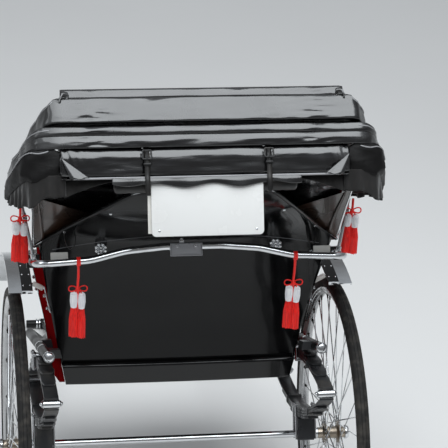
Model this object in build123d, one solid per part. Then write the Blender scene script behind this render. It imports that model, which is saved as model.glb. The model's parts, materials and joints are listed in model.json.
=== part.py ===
"""A pulled rickshaw, parked with its shafts down and its hood folded back.

All pieces are drawn with the body level: X to the right, Y forward, Z up, in millimetres, with the
axle above Y = 0 and the floor at Z = 0. The last lines tip everything nose down about the axle until
the grab bar between the shafts lies on the floor.
"""
from build123d import *
import math
import os

os.makedirs("parts", exist_ok=True)

# Clearances
seat_gap = 0.3
running_clearance = 0.05

# Wheels
wheel_radius = 545.0
half_track = 550.0
tyre_width = 44.0
tyre_depth = 34.0
tyre_chamfer = 11.0
tyre_base_inset = 2.0
rim_width = 36.0
rim_depth = 26.0
spoke_pairs = 20
spoke_radius = 2.0
spoke_lead = 54.0
spoke_head_offset = 3.0
hub_radius = 19.0
hub_inner_reach = 50.0
hub_outer_reach = 46.0
flange_radius = 40.0
flange_thickness = 5.0
flange_offset = 24.0
flange_root = 7.0
hub_cap_radius = 24.0
hub_cap_length = 16.0
hub_cap_slope = 6.0

# Axle
axle_radius = 12.5
collar_radius = 18.0
collar_length = 14.0

# Springs: two leaf packs each side, eye to eye, curved away from each other
spring_inset = 95.0
leaf_width = 48.0
leaf_thickness = 9.0
spring_half_length = 430.0
spring_camber = 87.0
pad_rise = 59.0
pad_overhang = 4.0
pad_length = 64.0
pad_sole = 8.0
pad_corner = 6.0
eye_radius = 15.0
eye_pin_radius = 10.0
eye_pin_overhang = 10.0
leaf_overrun = 11.0
leaf_setbacks = [0.0, 80.0, 160.0, 240.0]
clamp_length = 90.0
clamp_thickness = 7.0
clamp_overhang = 12.0
u_bolt_radius = 5.0
u_bolt_gap = 0.5

# Shafts and grab bar
shaft_radius = 17.0
shaft_tail = 330.0
shaft_drop = 68.0
shaft_neck_drop = 12.0
shaft_neck = 290.0
shaft_front_x = 315.0
shaft_bend_setback = 60.0
shaft_dip_reach = 250.0
shaft_bend_radii = [420.0, 900.0, 300.0]
grab_bar_radius = 21.0
grab_bar_y = 1750.0
grab_bar_drop = 59.0
grab_bar_shoulder = 6.0
bar_end_radius = 16.0
bar_end_length = 60.0
bar_end_chamfer = 2.0
bearer_length = 70.0
bearer_height = 28.0
bearer_ys = [-200.0, 180.0]

# Body: lacquered boards that flare outwards as they rise
board = 18.0
body_drop = 110.0
body_height = 651.0
bottom_inset = 165.0
top_inset = 30.0
seat_rise = 236.0
seat_front_y = 270.0
seat_nose = 10.0
foot_drop = 19.0
foot_front_y = 730.0
foot_curb = 50.0
dash_height = 110.0
dash_lean = 50.0
armrest_rise = 172.0
armrest_rear_y = -130.0
armrest_front_y = 250.0
armrest_rear_inset = 60.0
armrest_front_inset = 30.0
armrest_width = 46.0
armrest_height = 30.0
armrest_corner = 9.0
moulding_drop = 7.0
moulding_height = 74.0
moulding_depth = 24.0
moulding_corner = 11.0

# Edge of the side boards, rear to front. Each corner's last number is its radius.
# Shoulder: forward of the back's top, below the body's top
side_shoulder = [(60.0, 6.0, 25.0), (256.0, 140.0, 60.0)]
# Elbow: forward of the armrest's front end, below the armrest
side_elbow = [(0.0, 0.0, 40.0), (62.0, 90.0, 50.0)]
elbow_rear_radius = 120.0
# Toe: share of the way from the seat's front to the foot board's, height over the foot board
side_toe = [(0.0, 195.0, 90.0), (0.43, 100.0, 120.0), (1.0, foot_curb, 15.0)]
toe_tip_radius = 10.0
# Heel: how far behind the seat's front the lower edge starts and ends its rise
side_heel = [20.0, 120.0]
heel_radius = 40.0

# Rear shell: share of the body's height, Y of its two edges, how far its middle bows out behind
shell_thickness = 14.0
shell_rows = [
    (0.0, -90.0, 25.0),
    (0.301, -170.0, 35.0),
    (0.516, -258.0, 45.0),
    (0.77, -408.0, 62.0),
    (0.869, -480.0, 200.0),
    (1.0, -600.0, 250.0),
]
# Lip of the rear shell and top edge of the inner back board: half width, height below the body's top,
# corner radius
lip_edge = [(560.0, 212.0, 0.0), (505.0, 178.0, 60.0), (225.0, 7.0, 60.0), (190.0, -14.0, 0.0)]
back_edge = [(546.0, -10.0, 0.0), (505.0, 12.0, 20.0), (335.0, 66.0, 60.0)]

# Cushions
cushion_thickness = 95.0
cushion_gap = 6.0
cushion_rear_gap = 85.0
cushion_rear_lean = 33.0
back_cushion_thickness = 80.0
back_cushion_drop = 95.0

# Mudguards over the tyres and the lacquered wing boards beside them. Their arc is flatter than the
# tyre's, with its middle forward of the axle and below it. Angles are counted from straight up.
guard_radius = 800.0
guard_middle_y = 150.0
guard_middle_drop = 150.0
guard_thickness = 3.0
guard_bead = 4.0
guard_outer_offset = 27.0
guard_inner_offset = 16.0
guard_rear_angle = 31.0
guard_front_angle = 32.0
wing_width = 36.0
wing_thickness = 8.0
wing_rear_angle = 30.5
wing_front_angle = 24.0
stay_radius = 6.0
# angle at the wing board, height of its foot on the body side below that
stay_rows = [(-26.3, 24.0), (6.0, 65.0)]

# Push bar across the back: half width, rise over its ends, bend radius
push_bar_radius = 12.0
push_bar_drop = 225.0
push_bar_end_y = -330.0
push_bar_y = -520.0
push_bar_outreach = 29.0
push_bar_turns = [(0.0, 0.0, 45.0), (171.0, 8.0, 260.0), (285.0, 35.0, 260.0), (410.0, 46.0, 260.0)]
bracket_length = 34.0
bracket_height = 44.0
bracket_overhang = 6.0
plate_width = 104.0
plate_height = 42.0
plate_thickness = 3.0
plate_x = -22.0
plate_low_share = 0.75

# Folded hood, what it rests on, and the sign under it
hood_rest_radius = 21.0
hood_rest_half_width = 285.0
hood_overhang = 18.0
hood_half_width = 430.0
hood_corner = 26.0
hood_leg_thickness = 30.0
hood_leg_inset = 30.0
hood_knee = 228.0
hood_reach = 468.0
hood_pivot_outreach = 12.0
hood_bend_share = 0.6
hood_knee_radius = 120.0
hood_stay_radius = 6.0
hood_stay_foot_y = -400.0
hood_stay_setback = 20.0
hood_stay_lift = 1.2
hood_stay_head_gap = 3.0
drape_thickness = 10.0
drape_gap = 1.0
drape_depths = [56.0, 34.0, 8.0]
curtain_half_width = 470.0
curtain_thickness = 8.0
curtain_bend_drop = 5.0
sign_width = 346.0
sign_height = 168.0
sign_thickness = 12.0
sign_drop = 7.0
sign_corner = 14.0
strap_xs = [-184.0, 192.0]
strap_width = 16.0
strap_thickness = 4.0
strap_tail = 44.0
buckle_margin = 5.0
buckle_height = 28.0
buckle_thickness = 3.0
buckle_rise = 60.0

# Each fold of the hood. Rise, height and depth are its roll's at the rear; a rise is the middle's height
# over the hood's rest. Its leg stands out beside the roll by its corner and knee flares, and has a rise
# and a height at the knee and at the pivot.
# name, rise, height, depth, corner, knee, knee rise, knee height, pivot rise, pivot height
hood_folds = [
    ("hood_roll", 43.4, 86.0, 150.0, 112.0, 169.0, -32.0, 44.0, -64.0, 16.0),
    ("hood_pleats", 121.4, 68.0, 178.0, 84.0, 155.0, 17.0, 40.0, -46.0, 16.0),
    ("hood_band", 198.4, 84.0, 192.0, 54.0, 115.0, 67.0, 44.0, -27.0, 16.0),
    ("hood_top", 254.4, 26.0, 176.0, 34.0, 62.0, 104.0, 18.0, -11.0, 12.0),
]

# Tassels: cord lengths, then radius and drop below the cord of the head and skirt
tassel_bar_xs = [-368.0, 326.0]
tassel_bar_cord = 92.0
tassel_pivot_cord = 48.0
tassel_cord_radius = 2.5
tassel_rows = [(13.0, 8.0), (16.0, 60.0), (21.0, 67.0), (24.0, 156.0)]
tassel_hook_setback = 50.0
tassel_hook_drop = 3.2

# Sizes that follow from those above
rim_outer = wheel_radius - tyre_depth
rim_inner = rim_outer - rim_depth
spring_x = half_track - spring_inset
pack_thickness = leaf_thickness * len(leaf_setbacks)
lower_pack_bottom = wheel_radius + pad_rise
lower_pack_top = lower_pack_bottom + pack_thickness
eye_height = lower_pack_top + spring_camber
upper_pack_bottom = eye_height + spring_camber
upper_pack_top = upper_pack_bottom + pack_thickness
shaft_z = upper_pack_top + clamp_thickness + shaft_radius
grab_bar_z = shaft_z - grab_bar_drop
body_bottom_z = shaft_z - body_drop
body_top_z = body_bottom_z + body_height
bottom_half_width = half_track - bottom_inset
top_half_width = half_track - top_inset
seat_top_z = body_bottom_z + seat_rise
foot_top_z = body_bottom_z - foot_drop
foot_bottom_z = foot_top_z - board
armrest_z = seat_top_z + armrest_rise
back_rear = shell_thickness + seat_gap
back_front = back_rear + board
crown_y = shell_rows[-1][1] - shell_rows[-1][2]
rest_y = crown_y + shell_thickness / 2
rest_z = body_top_z + hood_rest_radius + seat_gap
hood_base_z = rest_z + hood_rest_radius + seat_gap
hood_rear_y = crown_y - hood_overhang
sign_y = rest_y - hood_rest_radius - seat_gap
sign_top_z = hood_base_z - sign_drop
guard_middle_z = wheel_radius - guard_middle_drop
wing_low_x = half_track - guard_inner_offset - seat_gap - wing_width
push_bar_end_z = body_top_z - push_bar_drop
push_bar_mid_z = push_bar_end_z + push_bar_turns[-1][1]
middle_span = 2 * (top_half_width + half_track)


def body_half_width(z):
    """Outer half width of the flared body at a height."""
    slope = (top_half_width - bottom_half_width) / body_height
    return bottom_half_width + slope * (z - body_bottom_z)


push_bar_half_width = body_half_width(push_bar_end_z) + push_bar_outreach


def back_y(z):
    """Y of the rear shell's edge at a height."""
    share = (z - body_bottom_z) / body_height
    for (low, low_y, _), (high, high_y, _) in zip(shell_rows, shell_rows[1:]):
        if share <= high:
            return low_y + (high_y - low_y) * (share - low) / (high - low)
    return shell_rows[-1][1]


def mirrored(shape):
    """The same piece on the other side of the vehicle."""
    return mirror(shape, Plane.YZ)


def yz_prism(outline, x_low, x_high):
    """Solid between two X values from a closed outline of (Y, Z) lines and arcs."""
    face = Plane.YZ.offset(x_low) * make_face(outline)
    return extrude(face, x_high - x_low, dir=(1, 0, 0))


def yz_slab(points, half_width):
    """Solid across the vehicle from straight (Y, Z) points."""
    return yz_prism(Polyline(*points, close=True), -half_width, half_width)


def xz_prism(outline, y_low, y_high):
    """Solid between two Y values from a closed outline in X and Z."""
    face = Plane.XZ.offset(-y_low) * make_face(outline)
    return extrude(face, y_high - y_low, dir=(0, 1, 0))


def rounded_line(rows):
    """Open line through (A, B, radius) rows, rounded at each row but the two ends."""
    return FilletPolyline(*[row[:2] for row in rows], radius=[row[2] for row in rows[1:-1]])


def rod(start, end, radius):
    """Round bar from point to point."""
    start, end = Vector(*start), Vector(*end)
    along = end - start
    plane = Plane(origin=start, z_dir=along)
    return extrude(plane * Circle(radius), along.length)


def tube_along(points, radii, radius):
    """Round bar bent along straight runs and arcs."""
    path = FilletPolyline(*points, radius=radii)
    plane = Plane(origin=path @ 0, z_dir=path % 0)
    return sweep(plane * Circle(radius), path=path)


def box_between(low, high):
    """Box from its lowest to its highest corner."""
    size = [h - l for l, h in zip(low, high)]
    centre = [(h + l) / 2 for l, h in zip(low, high)]
    return Pos(*centre) * Box(*size)


def ring(section_points):
    """Solid of revolution about the axle from (radius, X) points."""
    outline = Polyline(*[(x, r) for r, x in section_points], close=True)
    turned = revolve(make_face(outline), Axis.X)
    return Pos(0, 0, wheel_radius) * Rot(90, 0, 0) * turned


def make_tyre():
    """Solid tyre with chamfered shoulders, centred on its wheel plane."""
    half, cut = tyre_width / 2, tyre_chamfer
    base = rim_width / 2 - tyre_base_inset
    points = [(rim_outer, half_track - base), (rim_outer, half_track + base),
              (rim_outer + cut, half_track + half), (wheel_radius - cut, half_track + half),
              (wheel_radius, half_track + half - cut), (wheel_radius, half_track - half + cut),
              (wheel_radius - cut, half_track - half), (rim_outer + cut, half_track - half)]
    return ring(points)


def make_rim():
    """Plated steel rim with a raised middle where the spokes enter."""
    half = rim_width / 2
    points = [(rim_outer, half_track - half), (rim_outer, half_track + half),
              (rim_outer - rim_depth / 2, half_track + half), (rim_inner, half_track + half / 2),
              (rim_inner, half_track - half / 2), (rim_outer - rim_depth / 2, half_track - half)]
    return ring(points)


def make_hub():
    """Barrel with two spoke flanges, bored for the axle, and its domed cap."""
    bore = axle_radius + running_clearance
    low, high = half_track - hub_inner_reach, half_track + hub_outer_reach
    step = hub_radius + flange_root
    barrel = ring([(bore, low), (hub_radius, low), (hub_radius, high), (bore, high)])
    for side in (-1, 1):
        middle = half_track + side * flange_offset
        edges = (middle - flange_thickness / 2, middle + flange_thickness / 2)
        root = (edges[0] - flange_root / 2, edges[1] + flange_root / 2)
        barrel += ring([(bore, root[0]), (step, root[0]), (flange_radius, edges[0]),
                        (flange_radius, edges[1]), (step, root[1]), (bore, root[1])])
    cap = ring([(0, high), (hub_cap_radius, high), (hub_cap_radius, high + hub_cap_length / 2),
                (hub_cap_radius - hub_cap_slope, high + hub_cap_length), (0, high + hub_cap_length)])
    return barrel + cap


def make_spokes():
    """Crossed wire spokes between the two flanges and the rim."""
    spokes = []
    for number in range(spoke_pairs * 2):
        side = 1 if number % 2 else -1
        lean = 1 if (number // 2) % 2 else -1
        angle = 360.0 * (number + 0.5) / (spoke_pairs * 2)
        foot = math.radians(angle - lean * spoke_lead)
        head = math.radians(angle)
        inner = flange_radius + spoke_radius
        outer = rim_inner - seat_gap
        start = (half_track + side * flange_offset, inner * math.cos(foot),
                 wheel_radius + inner * math.sin(foot))
        end = (half_track + side * spoke_head_offset, outer * math.cos(head),
               wheel_radius + outer * math.sin(head))
        spokes.append(rod(start, end, spoke_radius))
    return Compound(spokes)


def make_axle():
    """Round axle through both hubs, with a collar inside each wheel."""
    reach = half_track + hub_outer_reach - running_clearance
    bar = Pos(0, 0, wheel_radius) * Rot(0, 90, 0) * Cylinder(axle_radius, 2 * reach)
    collar_end = half_track - hub_inner_reach - seat_gap
    for side in (-1, 1):
        middle = side * (collar_end - collar_length / 2)
        bar += Pos(middle, 0, wheel_radius) * Rot(0, 90, 0) * Cylinder(collar_radius, collar_length)
    return bar


def spring_circle(centre_z):
    """Height of the middle, and radius, of the arc through the pack's middle and its two eyes."""
    rise = eye_height - centre_z
    radius = (spring_half_length ** 2 + rise ** 2) / (2 * abs(rise))
    return centre_z + math.copysign(radius, rise), radius


def eye_distance():
    """How far before and behind the axle the two eyes sit, just inside the main leaves."""
    middle_z, radius = spring_circle(lower_pack_top)
    return math.sqrt((radius - eye_radius - seat_gap) ** 2 - (middle_z - eye_height) ** 2)


def make_leaves(centre_z, upward):
    """One leaf pack. The longest leaf is on the hollow side and the shorter ones lie outside it."""
    middle_z, radius = spring_circle(centre_z)
    sign = 1 if upward else -1
    pack = None
    for number, setback in enumerate(leaf_setbacks):
        y = eye_distance() + leaf_overrun - setback
        low = radius + number * leaf_thickness
        arcs = []
        for r in (low, low + leaf_thickness):
            end_z = middle_z + sign * math.sqrt(r * r - y * y)
            arcs.append(ThreePointArc((-y, end_z), (0, middle_z + sign * r), (y, end_z)))
        inner, outer = arcs
        edges = [inner, Line(inner @ 1, outer @ 1), outer, Line(outer @ 0, inner @ 0)]
        leaf = yz_prism(edges, spring_x - leaf_width / 2, spring_x + leaf_width / 2)
        pack = leaf if pack is None else pack + leaf
    return pack


def make_spring_eyes():
    """The two knuckles that join the packs, with a head on each pin."""
    knuckles = []
    for side in (-1, 1):
        place = Pos(spring_x, side * eye_distance(), eye_height) * Rot(0, 90, 0)
        knuckle = place * Cylinder(eye_radius, leaf_width)
        knuckle += place * Cylinder(eye_pin_radius, leaf_width + 2 * eye_pin_overhang)
        knuckles.append(knuckle)
    return Compound(knuckles)


def make_axle_pad():
    """Forged block that seats the spring on the axle."""
    half = leaf_width / 2 + pad_overhang
    low = (spring_x - half, -pad_length / 2, wheel_radius - axle_radius - pad_sole)
    high = (spring_x + half, pad_length / 2, lower_pack_bottom)
    block = box_between(low, high)
    block = fillet(block.edges().filter_by(Axis.X), pad_corner)
    bore = Pos(spring_x, 0, wheel_radius) * Rot(0, 90, 0) * Cylinder(axle_radius, leaf_width * 2)
    return block - bore


def make_clamp():
    """Plate over the upper leaf pack, and the U bolts that hold it to the shaft."""
    half = leaf_width / 2
    clamp = box_between((spring_x - half - clamp_overhang, -clamp_length / 2, upper_pack_top),
                        (spring_x + half + clamp_overhang, clamp_length / 2,
                         upper_pack_top + clamp_thickness))
    for bolt_y in (-clamp_length / 3, clamp_length / 3):
        for side in (-1, 1):
            x = spring_x + side * (half + u_bolt_radius + u_bolt_gap)
            clamp += rod((x, bolt_y, upper_pack_bottom - clamp_thickness),
                         (x, bolt_y, upper_pack_top + clamp_thickness), u_bolt_radius)
    return clamp


def make_shaft():
    """Bent shaft, from behind the spring to the grab bar."""
    bend_y, dip_y = foot_front_y - shaft_bend_setback, foot_front_y + shaft_dip_reach
    dip_z = shaft_z - shaft_drop
    front_y = grab_bar_y - grab_bar_radius - 2 * seat_gap
    points = [(spring_x, -shaft_tail, shaft_z), (spring_x, bend_y, shaft_z),
              ((spring_x + shaft_front_x) / 2, dip_y, dip_z),
              (shaft_front_x, grab_bar_y - shaft_neck, dip_z - shaft_neck_drop),
              (shaft_front_x, front_y, grab_bar_z)]
    return tube_along(points, shaft_bend_radii, shaft_radius)


def make_grab_bar():
    """Bar across the front that the puller holds, stepped down outside the shafts for a rope's eye."""
    half = shaft_front_x + shaft_radius + grab_bar_shoulder
    place = Pos(0, grab_bar_y, grab_bar_z) * Rot(0, 90, 0)
    ends = place * Cylinder(bar_end_radius, 2 * (half + bar_end_length))
    ends = chamfer(ends.edges(), bar_end_chamfer)
    return place * Cylinder(grab_bar_radius, 2 * half) + ends


def flared_slab(inset_outer, inset_inner):
    """Slanted slab between two distances inside the flared outer face, on the right."""
    low_z, high_z = foot_bottom_z - board, body_top_z + board
    corners = [(body_half_width(low_z) - inset_inner, low_z), (body_half_width(low_z) - inset_outer, low_z),
               (body_half_width(high_z) - inset_outer, high_z),
               (body_half_width(high_z) - inset_inner, high_z)]
    return xz_prism(Polyline(*corners, close=True), -middle_span, middle_span)


def flared_room(inset):
    """Everything between the two flared faces, each moved inwards by the inset."""
    low_z, high_z = foot_bottom_z - board, body_top_z + board
    low_x, high_x = body_half_width(low_z) - inset, body_half_width(high_z) - inset
    corners = [(-low_x, low_z), (low_x, low_z), (high_x, high_z), (-high_x, high_z)]
    return xz_prism(Polyline(*corners, close=True), -middle_span, middle_span)


def back_points(shift):
    """The raked back's edge in side view, bottom first, moved forward by a distance."""
    return [(y + shift, body_bottom_z + share * body_height) for share, y, _ in shell_rows]


def make_side():
    """Side board: a raked back, an armrest, and a toe that sweeps forward to the foot board."""
    rear = back_points(back_rear)
    top_y = rear[-1][0]
    foot_length = foot_front_y - seat_front_y
    rail = [(*rear[-1], 0)]
    rail += [(top_y + forward, body_top_z - drop, radius) for forward, drop, radius in side_shoulder]
    rail.append((armrest_rear_y, armrest_z, elbow_rear_radius))
    rail += [(armrest_front_y + forward, armrest_z - drop, radius) for forward, drop, radius in side_elbow]
    rail += [(seat_front_y + share * foot_length, foot_top_z + rise, radius)
             for share, rise, radius in side_toe]
    rail.append((foot_front_y, foot_bottom_z, toe_tip_radius))
    rail += [(seat_front_y - setback, z, heel_radius)
             for setback, z in zip(side_heel, (foot_bottom_z, body_bottom_z))]
    rail.append((*rear[0], 0))
    edge = rounded_line(rail)
    return yz_prism([edge, Polyline(*rear)], 0, middle_span) & flared_slab(0, board)


def under_edge(rows):
    """Everything below an edge that is the same on both sides, from its rows, outermost first."""
    right = [(x, body_top_z - drop, radius) for x, drop, radius in rows]
    left = [(-x, z, radius) for x, z, radius in right]
    edge = rounded_line(left + right[::-1])
    low = [(right[0][0], body_bottom_z - board), (left[0][0], body_bottom_z - board)]
    under = [edge, Polyline(edge @ 1, *low, edge @ 0)]
    return xz_prism(under, -middle_span, middle_span)


def make_back():
    """Board behind the sitters' backs. Its top dips between two ears that carry the hood's legs."""
    points = back_points(back_rear) + back_points(back_front)[::-1]
    panel = yz_slab(points, middle_span) & flared_room(board)
    return panel & under_edge(back_edge)


def shell_face(share, edge_y, bow):
    """Plan section of the rear shell: two bowed lines joined at the body's sides."""
    z = body_bottom_z + share * body_height
    half = body_half_width(z)
    arcs = [ThreePointArc((-half, edge_y + shift), (0, edge_y - bow + shift), (half, edge_y + shift))
            for shift in (0, shell_thickness)]
    outer, inner = arcs
    outline = [outer, Line(outer @ 1, inner @ 1), inner, Line(inner @ 0, outer @ 0)]
    return Plane.XY.offset(z) * make_face(outline)


def make_shell():
    """Lacquered rear shell. It bows out behind, and its lip rises from the sides to the middle."""
    shell = None
    for low, high in zip(shell_rows, shell_rows[1:]):
        course = loft([shell_face(*low), shell_face(*high)], ruled=True)
        shell = course if shell is None else shell + course
    return shell & under_edge(lip_edge)


def moulding_face(z):
    """Plan section of the moulding: a strip of even depth against the rear shell."""
    (_, low_y, low_bow), (share, high_y, high_bow) = shell_rows[:2]
    rise = (z - body_bottom_z) / (share * body_height)
    edge_y, bow = low_y + (high_y - low_y) * rise - seat_gap, low_bow + (high_bow - low_bow) * rise
    half = body_half_width(z)
    arcs = [ThreePointArc((-half, edge_y - shift), (0, edge_y - bow - shift), (half, edge_y - shift))
            for shift in (0, moulding_depth)]
    inner, outer = arcs
    outline = [outer, Line(outer @ 1, inner @ 1), inner, Line(inner @ 0, outer @ 0)]
    return Plane.XY.offset(z) * make_face(outline)


def make_moulding():
    """Rounded moulding along the foot of the rear shell."""
    low = body_bottom_z - moulding_drop
    strip = loft([moulding_face(low), moulding_face(low + moulding_height)], ruled=True)
    outer = strip.faces().sort_by(Axis.Y)[0]
    return fillet(outer.edges().filter_by(Axis.Z, reverse=True).sort_by(SortBy.LENGTH)[-2:], moulding_corner)


def make_floor():
    """Bottom board of the seat box."""
    half = body_half_width(body_bottom_z) - board - 2 * seat_gap
    return box_between((-half, back_y(body_bottom_z) + back_front + seat_gap, body_bottom_z),
                       (half, seat_front_y - board - seat_gap, body_bottom_z + board))


def make_seat_front():
    """Board that closes the seat box in front of the sitter's heels, down to the foot board."""
    points = [(seat_front_y - board, foot_top_z), (seat_front_y, foot_top_z),
              (seat_front_y, seat_top_z - board), (seat_front_y - board, seat_top_z - board)]
    return yz_slab(points, middle_span) & flared_room(board)


def make_seat_board():
    """Seat plank on top of the seat box."""
    low, front = seat_top_z - board, seat_front_y + seat_nose
    rear = back_y(low) + back_front + 2 * seat_gap
    points = [(rear, low), (front, low), (front, seat_top_z), (rear, seat_top_z)]
    return yz_slab(points, middle_span) & flared_room(board)


def make_foot_board():
    """Foot board between the toes of the side boards."""
    rear = seat_front_y + seat_gap
    points = [(rear, foot_bottom_z), (foot_front_y, foot_bottom_z), (foot_front_y, foot_top_z),
              (rear, foot_top_z)]
    return yz_slab(points, middle_span) & flared_room(board)


def make_dash():
    """Low curved board in front of the feet."""
    low, high = foot_bottom_z, foot_top_z + dash_height
    near, far = foot_front_y + seat_gap, foot_front_y + board
    points = [(near, low), (far, low), (far + dash_lean, high), (near + dash_lean, high)]
    return yz_slab(points, body_half_width(foot_top_z))


def make_seat_cushion():
    """Seat cushion block."""
    low = seat_top_z + seat_gap
    high = low + cushion_thickness
    rear, front = back_y(low) + back_front + cushion_rear_gap, seat_front_y - seat_nose
    points = [(rear, low), (front, low), (front, high), (rear - cushion_rear_lean, high)]
    return yz_slab(points, middle_span) & flared_room(board + cushion_gap)


def make_back_cushion():
    """Back cushion slab against the raked back board."""
    low, high = seat_top_z + cushion_thickness + cushion_gap, body_top_z - back_cushion_drop
    near = back_front + 2 * seat_gap
    points = back_points(near) + back_points(near + back_cushion_thickness)[::-1]
    slab = yz_slab(points, middle_span) & flared_room(board + cushion_gap)
    return slab & box_between((-middle_span, -middle_span, low), (middle_span, middle_span, high))


def make_armrest():
    """Padded rail on top of the side board."""
    x = body_half_width(armrest_z) - board / 2
    rear, front = armrest_rear_y + armrest_rear_inset, armrest_front_y - armrest_front_inset
    pad = box_between((x - armrest_width / 2, rear, armrest_z + seat_gap),
                      (x + armrest_width / 2, front, armrest_z + armrest_height))
    return fillet(pad.edges().filter_by(Axis.Y), armrest_corner)


def guard_point(radius, angle):
    """Y and Z on an arc about the mudguards' middle."""
    turn = math.radians(angle)
    return (guard_middle_y + radius * math.sin(turn), guard_middle_z + radius * math.cos(turn))


def guard_arc_band(inner, outer, rear_angle, front_angle, x_low, x_high):
    """Band over the wheel, from an angle behind the top of the mudguards' arc to one ahead of it."""
    half = (front_angle - rear_angle) / 2
    angles = (-rear_angle, half, front_angle)
    outer_arc, inner_arc = [ThreePointArc(*[guard_point(radius, angle) for angle in angles])
                            for radius in (outer, inner)]
    outline = [outer_arc, Line(outer_arc @ 1, inner_arc @ 1), inner_arc, Line(inner_arc @ 0, outer_arc @ 0)]
    return yz_prism(outline, x_low, x_high)


def make_mudguard():
    """Plated strip over the tyre, with a rolled bead along each edge."""
    low, high = half_track - guard_inner_offset, half_track + guard_outer_offset
    outer = guard_radius + guard_thickness
    strip = guard_arc_band(guard_radius, outer, guard_rear_angle, guard_front_angle, low, high)
    for edge in (low, high - guard_bead):
        strip += guard_arc_band(guard_radius - guard_bead, outer, guard_rear_angle, guard_front_angle,
                                edge, edge + guard_bead)
    return strip


def make_wing():
    """Lacquered board beside the mudguard that keeps sleeves off the spokes."""
    return guard_arc_band(guard_radius - wing_thickness / 2, guard_radius + wing_thickness / 2,
                          wing_rear_angle, wing_front_angle, wing_low_x, wing_low_x + wing_width)


def make_stays():
    """Rods that carry the wing board and the mudguard from the body side."""
    between = box_between((0, -middle_span, 0), (wing_low_x - seat_gap, middle_span, middle_span))
    between -= flared_room(-seat_gap)
    rods = []
    for angle, drop in stay_rows:
        y, z = guard_point(guard_radius, angle)
        foot = (body_half_width(z - drop) - board, y, z - drop)
        rods.append(rod(foot, (wing_low_x + wing_width / 2, y, z), stay_radius) & between)
    return rods


def make_push_bar():
    """Plated pipe across the back, raised in the middle, with a return at each end."""
    end_y = push_bar_end_y - seat_gap
    right = [(push_bar_half_width - inset, push_bar_y, push_bar_end_z + rise)
             for inset, rise, _ in push_bar_turns]
    left = [(-x, y, z) for x, y, z in right]
    points = [(-push_bar_half_width, end_y, push_bar_end_z), *left, *right[::-1],
              (push_bar_half_width, end_y, push_bar_end_z)]
    radii = [radius for _, _, radius in push_bar_turns]
    return tube_along(points, radii + radii[::-1], push_bar_radius)


def make_push_bar_bracket():
    """Block on the side board that holds an end of the push bar."""
    z, half = push_bar_end_z, bracket_height / 2
    high_x = push_bar_half_width + push_bar_radius + bracket_overhang
    return box_between((body_half_width(z + half) + seat_gap, push_bar_end_y, z - half),
                       (high_x, push_bar_end_y + bracket_length, z + half))


def make_number_plate():
    """Blank plate on the push bar."""
    rear = push_bar_y - push_bar_radius
    low_z = push_bar_mid_z - plate_height * plate_low_share
    return box_between((plate_x - plate_width / 2, rear - plate_thickness - seat_gap, low_z),
                       (plate_x + plate_width / 2, rear - seat_gap, low_z + plate_height))


def make_sign():
    """Blank board with rounded corners, hung under the folded hood."""
    plate = box_between((-sign_width / 2, sign_y - sign_thickness, sign_top_z - sign_height),
                        (sign_width / 2, sign_y, sign_top_z))
    return fillet(plate.edges().filter_by(Axis.Y), sign_corner)


def make_fold(rise, height, depth):
    """One roll of the folded hood across the rear."""
    z = hood_base_z + rise
    roll = box_between((-hood_half_width, hood_rear_y, z - height / 2),
                       (hood_half_width, hood_rear_y + depth, z + height / 2))
    return fillet(roll.edges().filter_by(Axis.X), min(height * 0.45, hood_corner))


def leg_wall(corner_flare, knee_flare, thickness):
    """Upright curved wall beside the rolls: out from the rear corner, forward and in to the pivot."""
    start_x = hood_half_width + seat_gap
    pivot_x = body_half_width(body_top_z) + hood_pivot_outreach
    rear_y = hood_rear_y + hood_leg_inset
    points = [(start_x, rear_y, hood_base_z), (hood_half_width + corner_flare, rear_y, hood_base_z),
              (hood_half_width + knee_flare, hood_rear_y + hood_knee, hood_base_z),
              (pivot_x, hood_rear_y + hood_reach, hood_base_z)]
    path = FilletPolyline(*points, radius=[hood_bend_share * corner_flare, hood_knee_radius])
    plane = Plane(origin=path @ 0, x_dir=(0, 0, 1), z_dir=path % 0)
    return sweep(plane * Rectangle(middle_span, thickness), path=path)


def leg_outline(rows):
    """Closed side view of a leg from its (Y, lower Z, upper Z) stations, rear first."""
    return [(y, low) for y, low, _ in rows] + [(y, high) for y, _, high in rows[::-1]]


def leg_stations(rise, height, knee_rise, knee_height, pivot_rise, pivot_height):
    """Stations of one leg at the rear, at its knee and at the pivot."""
    middles = [(hood_rear_y, rise, height), (hood_rear_y + hood_knee, knee_rise, knee_height),
               (hood_rear_y + hood_reach, pivot_rise, pivot_height)]
    return [(y, hood_base_z + mid - tall / 2, hood_base_z + mid + tall / 2) for y, mid, tall in middles]


def make_hood_side():
    """The legs of the four folds along one side, a fan that narrows to the pivot."""
    legs = []
    for _, rise, height, _, corner_flare, knee_flare, *knee_and_pivot in hood_folds:
        rows = leg_stations(rise, height - 2 * seat_gap, *knee_and_pivot)
        outline = Polyline(*leg_outline(rows), close=True)
        wall = leg_wall(corner_flare, knee_flare, hood_leg_thickness)
        legs.append(wall & yz_prism(outline, 0, middle_span))
    return Compound(legs)


def make_hood_drape():
    """Lining cloth that hangs under the lowest leg."""
    _, rise, height, _, corner_flare, knee_flare, *knee_and_pivot = hood_folds[0]
    rows = leg_stations(rise, height, *knee_and_pivot)
    hanging = [(y, low - drape_gap - depth, low - drape_gap)
               for (y, low, _), depth in zip(rows, drape_depths)]
    outline = Polyline(*leg_outline(hanging), close=True)
    return leg_wall(corner_flare, knee_flare, drape_thickness) & yz_prism(outline, 0, middle_span)


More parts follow.
